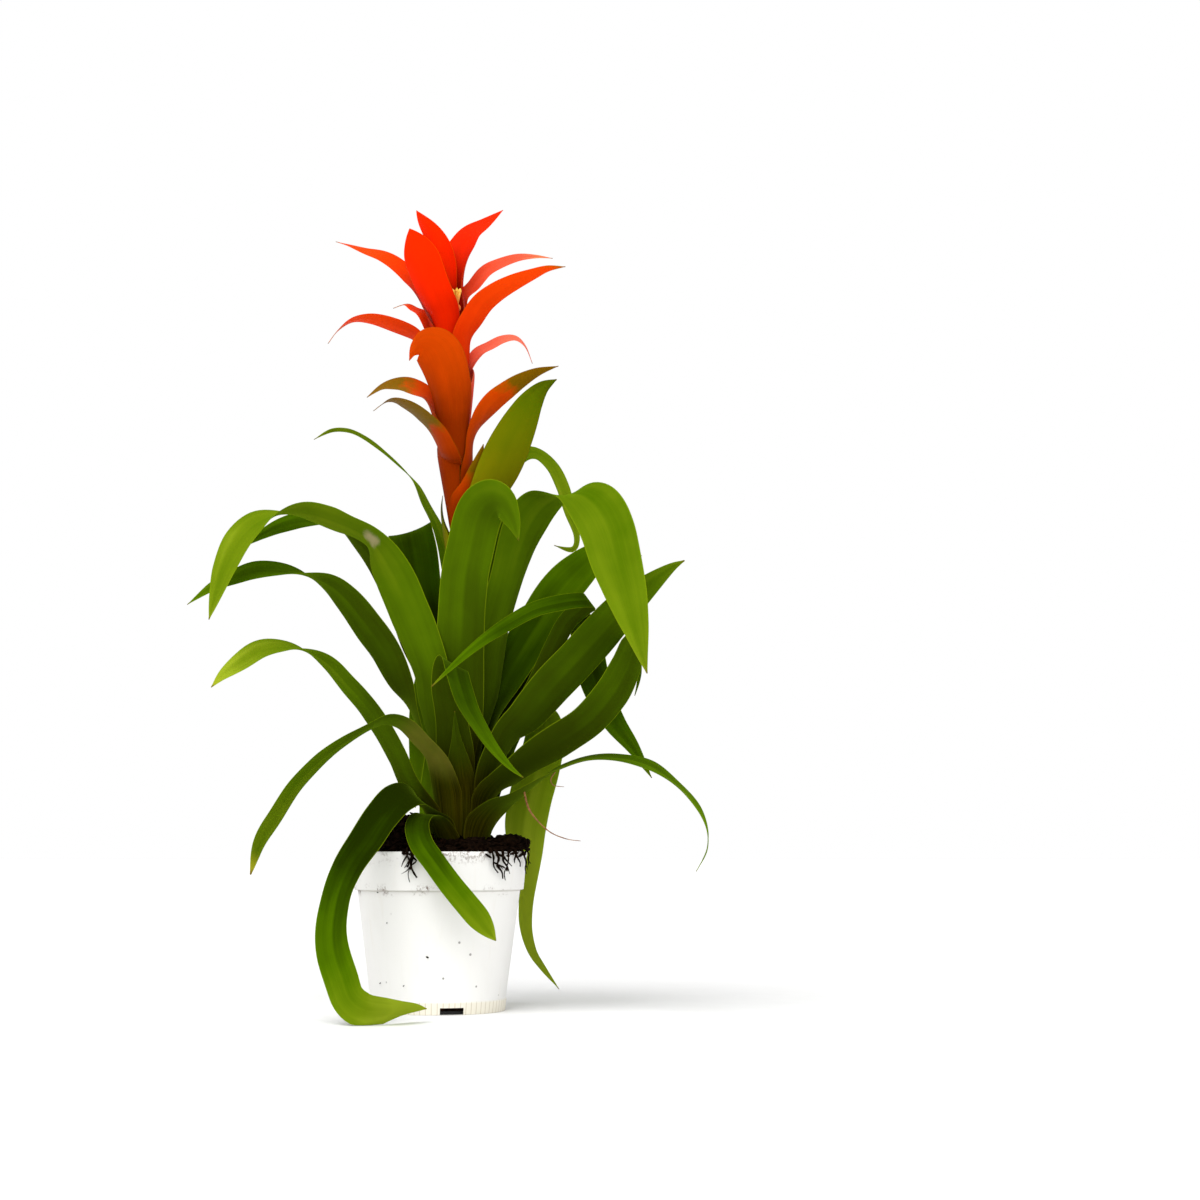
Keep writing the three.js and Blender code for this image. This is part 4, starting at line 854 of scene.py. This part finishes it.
def bract_skin(name, low, high, green):
    """Bract skin from its darker to its lighter colour by a tone that paints light and shade, with green
    towards the tip and margins.
    """
    made, graph, shader, place = material(
        name, Specular_IOR_Level=0.04, Specular_Tint=(1.0, 0.2, 0.01, 1.0), Subsurface_Weight=0.05,
        Subsurface_Scale=2 * MM, Subsurface_Radius=(1.0, 0.1, 0.02))
    uv = graph.node("ShaderNodeUVMap", uv_map="UVMap")
    across, along, tone, dry = shown(graph, "across", "along", "tone", "dry")
    veins = graph.noise(uv, 1, 4, 0.6, (42, 1.6, 1))
    bands = graph.noise(uv, 1, 2, 0.5, (2.4, 1.3, 1))
    blotch = graph.noise(place, 48, 4, 0.6)
    fleck = graph.noise(place, 260, 3, 0.6)
    # Painted light and shade: the bract's tone and its place along its length set how far it goes from its
    # low to its high colour.
    light = tone + (along - 0.6) * 1.5 + (veins - 0.5) * 0.22 + (bands - 0.5) * 0.5 + (blotch - 0.5) * 0.3
    start = 1 - dry * 0.6
    greened = (along + (blotch - 0.5) * 0.35 + (bands - 0.5) * 0.3 - start).ramp(0.0, 0.16)
    colour = graph.painted(
        low, (light, high), (greened * 0.9, green), (across.absolute().ramp(0.95, 1.0) * 0.25, green),
        (fleck.ramp(0.66, 0.8) * 0.3, low), (along.ramp(0.985, 1.0) * 0.6, BRACT_TIP))
    finish(graph, shader, colour, 0.42 + veins * 0.15, veins + fleck * 0.4, VEIN_DEPTH)
    return made


olive = bract_skin("bract_olive_skin", (0.24, 0.20, 0.002), (0.085, 0.13, 0.0006), (0.055, 0.085, 0.0005))
orange = bract_skin("bract_orange_skin", (0.25, 0.024, 0.0003), (0.90, 0.085, 0.001), (0.15, 0.11, 0.001))
pink = bract_skin("bract_pink_skin", (0.72, 0.06, 0.02), (0.85, 0.17, 0.10), (0.5, 0.3, 0.1))
red = bract_skin("bract_red_skin", (0.50, 0.014, 0.0002), (0.95, 0.06, 0.002), (0.30, 0.16, 0.003))
scarlet = bract_skin(
    "bract_scarlet_skin", (0.40, 0.008, 0.0001), (1.0, 0.022, 0.0001), (0.30, 0.16, 0.003))
CLASP_RADIUS, CLASP_SPREAD = 5.4, 0.14
BRACTS = [
    # Name, foot, azimuth, height where the blade leaves, width, share of its length that tapers, then its
    # skin and slot, its tone, which paints the light and shade on it, how green its tip is, and the blade's
    # route
    ("bract_base", 290, 175, 326, 13, 0.5, olive, "bract_olive", 0.5, 0.1, [
        (-1, 1, 343), (0, 1, 354)]),
    ("bract_right_green", 301, 335, 332, 30, 0.45, olive, "bract_olive", 0.65, 0.3, [
        (30, -9, 349, -20), (39, -13, 368, -45), (47, -16, 386, -55), (55, -18, 403, -60),
        (62, -20, 416, -60), (70, -21, 426, -60), (80, -21, 432, -50)]),
    ("bract_right_short", 312, 303, 346, 17, 0.5, orange, "bract_olive", 0.3, 0.6, [
        (22, -10, 362), (26, -12, 375), (29, -13, 388)]),
    ("bract_right_orange", 334, 356, 374, 18, 0.45, orange, "bract_orange", 0.6, 0.6, [
        (21, -1, 393, -5), (27, -4, 408, -30), (35, -6, 419, -45), (45, -8, 427, -50), (55, -9, 434, -50),
        (67, -10, 440, -45), (81, -10, 444, -30)]),
    ("bract_front_left", 328, 219, 378, 31, 0.36, orange, "bract_orange", 0.4, 0.75, [
        (0, -14, 382), (-6, -18, 396), (-15, -23, 406), (-26, -27, 413), (-36, -28, 415, -10),
        (-46, -29, 408, -20)]),
    ("bract_left_low", 345, 166, 402, 22, 0.36, orange, "bract_orange", 0.45, 0.6, [
        (-10, 5, 420, -8), (-16, 6, 428, -30), (-26, 7, 434, -38), (-36, 8, 435, -38), (-45, 9, 433, -32),
        (-55, 10, 426, -30)]),
    ("bract_front", 356, 262, 412, 36, 0.3, orange, "bract_orange", 0.35, 0.04, [
        (4, -17, 429), (0, -21, 444), (-5, -26, 453), (-12, -31, 455), (-18, -34, 450), (-21, -35, 442)]),
    ("bract_right_pink", 367, 20, 438, 15, 0.38, pink, "bract_orange", 0.4, 0.1, [
        (18, 5, 445, 20), (24, 7, 457, 30), (32, 9, 463, 32), (41, 10, 468, 34), (50, 11, 469, 30),
        (57, 12, 463, 15), (62, 12, 451)]),
    ("bract_left_arch", 378, 188, 446, 16, 0.36, red, "bract_orange", 0.65, 0.25, [
        (-14, -2, 460, 10), (-22, -3, 469, 20), (-36, -3, 475, 22), (-51, -4, 479, 15), (-64, -5, 478),
        (-74, -5, 471, -12), (-81, -6, 461, -20)]),
    ("bract_left_back", 389, 135, 462, 15.5, 0.4, red, "bract_red", 0.4, 0.2, [
        (-15, 10, 484), (-23, 13, 491), (-29, 16, 495), (-38, 19, 493)]),
    ("bract_right_long", 400, 312, 450, 18, 0.5, red, "bract_red", 0.7, 0.22, [
        (15, -11, 465), (21, -14, 477, -10), (28, -17, 487, -14), (38, -21, 494, -14), (50, -24, 500, -14),
        (63, -27, 505, -10), (74, -28, 509, -5), (86, -29, 510)]),
    ("bract_right_thin", 411, 50, 476, 11, 0.4, pink, "bract_red", 0.0, 0.2, [
        (12, 11, 497, 10), (20, 13, 508, 20), (28, 15, 519, 28), (38, 16, 525, 28), (51, 18, 530, 28),
        (64, 19, 531, 20), (76, 20, 530, 10)]),
    ("bract_left_top", 422, 162, 470, 17, 0.45, red, "bract_red", 0.5, 0.1, [
        (-17, 9, 497, -10), (-25, 11, 512, -30), (-34, 12, 522, -40), (-45, 12, 529, -40),
        (-58, 12, 533, -30), (-69, 12, 537, -20), (-79, 12, 540, -10)]),
    ("bract_front_top", 433, 245, 478, 29, 0.22, scarlet, "bract_red", 0.75, 0.0, [
        (-5, -14, 489), (-10, -17, 502), (-14, -20, 514), (-18, -22, 525), (-23, -23, 539)]),
    ("bract_cup_right", 444, 57, 486, 36, 0.55, scarlet, "bract_red", 0.35, 0.0, [
        (7, 12, 506), (8, 15, 523), (12, 18, 537), (17, 20, 548), (27, 21, 556), (40, 21, 566)]),
    ("bract_cup_back", 455, 130, 492, 34, 0.42, scarlet, "bract_red", 0.45, 0.0, [
        (-6, 6, 504), (-7, 7, 521), (-10, 7, 537), (-14, 7, 549), (-21, 6, 561)]),
]
for name, foot, azimuth, leave, width, taper, skin, slot, tone, greenness, route in BRACTS:
    def clasp(z):
        return CLASP_RADIUS + CLASP_SPREAD * (z - foot)

    bract = strap(
        sheath_stations(clasp, azimuth, foot, leave) + route, azimuth, Row=1.6 * MM, Around=32,
        Width=width * MM, Taper=taper, Shell=clasp(leave) * MM, Wrap=2.4, Blend=14 * MM,
        Thickness=0.75 * MM, Wave=1.0 * MM, Seed=azimuth * 0.53 + foot, Tone=tone, Pale=0.0, Dry=greenness,
        Finish=skin)
    piece(name + "_blade", bract, slot, name)


# Flowers: a tuft of small yellow tubes with pointed tips, beside the scape in the cup that the top bracts
# make.
PETAL_FOOT, PETAL_YELLOW, PETAL_VEIN = (0.8, 0.2, 0.01), (1.0, 0.62, 0.07), (0.85, 0.35, 0.03)
FLOWER_COUNT, FLOWER_LEAN, FLOWER_TURN, FLOWER_HEIGHT, CORE_RADIUS = 7, 0.22, 137.5, 487, 3
TUFT_AZIMUTH, TUFT_AWAY, PLEATS, PLEAT_DEPTH, PLEAT_HEIGHT = -38, 7.6, 3, 0.12, 9
petal, graph, shader, place = material(
    "yellow_petal", Roughness=0.45, Subsurface_Weight=0.2, Subsurface_Scale=3 * MM)
height = graph.node("ShaderNodeSeparateXYZ", {0: place})["Z"]
vein = graph.noise(place, 500, 3, 0.6, (1, 1, 0.2))
paler = height.ramp((FLOWER_HEIGHT + 1) * MM, (FLOWER_HEIGHT + 13) * MM)
colour = graph.painted(PETAL_FOOT, (paler, PETAL_YELLOW), (vein.ramp(0.4, 0.7) * 0.4, PETAL_VEIN))
finish(graph, shader, colour, None, vein, 0.2 * MM)
flower_profile = [(0, 1), (0.8, 1.2), (0.85, 4), (1.0, 8), (1.1, 10), (1.05, 11), (1.25, 11.6), (1.3, 12),
                  (1.0, 12.8), (0.6, 13.6), (0.2, 14.1), (0, 14.2)]
tuft = [ball(3, Matrix.Scale(CORE_RADIUS * MM, 4))]
for i in range(FLOWER_COUNT):
    tube = turned(flower_profile, 20)
    for vertex in tube.vertices:
        x, y, z = vertex.co
        pleat = 1 + PLEAT_DEPTH * math.cos(PLEATS * math.atan2(y, x)) * min(1, z / (PLEAT_HEIGHT * MM))
        vertex.co = (x * pleat, y * pleat, z)
    lean = Matrix.Rotation(FLOWER_LEAN if i else 0, 4, "Y")
    tube.transform(Matrix.Rotation(math.radians(FLOWER_TURN * i), 4, "Z") @ lean)
    tuft.append(tube)
beside = Vector(on_ring(TUFT_AZIMUTH, TUFT_AWAY, FLOWER_HEIGHT)) + Vector((axis_x(FLOWER_HEIGHT), 0, 0))
for mesh in tuft:
    mesh.transform(Matrix.Translation(beside * MM))
joined("flower_tuft", tuft, petal, "flowers", "flowers")


# Floor: a plain pale sheet of paper that the pot stands on. It is wide enough to fill the picture from any
# side, and no part of the plant.
PAPER_GREY, PAPER_WHITE, FLOOR_REACH = (0.90, 0.90, 0.895), (0.94, 0.94, 0.935), 28000
corners = [on_ring(turn, FLOOR_REACH, 0) for turn in (225, 315, 45, 135)]
floor_mesh = mesh_of(corners, faces=[(0, 1, 2, 3)])
floor = placed("floor", floor_mesh)
paper, graph, shader, place = material("paper", Roughness=0.9, Specular_IOR_Level=0.0)
finish(graph, shader, graph.painted(PAPER_GREY, (graph.noise(place, 40, 3), PAPER_WHITE)))
floor_mesh.materials.append(paper)


# Light: a soft key lamp above on the left, a fill from the front, a lamp from behind, and a white world
# that looks brighter than it lights.
LAMPS = [
    # Name, azimuth, elevation, strength, softness in degrees
    ("key", 236, 54, 2.35, 50), ("fill", 286, 14, 1.3, 60), ("behind", 60, 46, 0.5, 80),
]
WORLD_WHITE, WORLD_SEEN, WORLD_LIGHT = (1, 1, 1, 1), 1.0, 0.4
for name, azimuth, elevation, power, softness in LAMPS:
    lamp_data = bpy.data.lights.new(name, "SUN")
    lamp_data.angle = math.radians(softness)
    lamp_data.energy = power
    lamp = placed(name, lamp_data)
    rise = math.radians(elevation)
    aim = Vector(on_ring(azimuth, math.cos(rise), math.sin(rise)))
    lamp.rotation_euler = aim.to_track_quat("Z", "Y").to_euler()
world = bpy.data.worlds.new("studio")
world.use_nodes = True
graph = Graph(world.node_tree)
seen = graph.node("ShaderNodeBackground", {"Color": WORLD_WHITE, "Strength": WORLD_SEEN})
lit = graph.node("ShaderNodeBackground", {"Color": WORLD_WHITE, "Strength": WORLD_LIGHT})
ray = graph.node("ShaderNodeLightPath", output="Is Camera Ray")
both = graph.node("ShaderNodeMixShader", {0: ray, 1: lit, 2: seen})
graph.tree.links.new(both.socket, graph.tree.nodes["World Output"].inputs["Surface"])
scene.world = world
scene.view_settings.view_transform = "Standard"
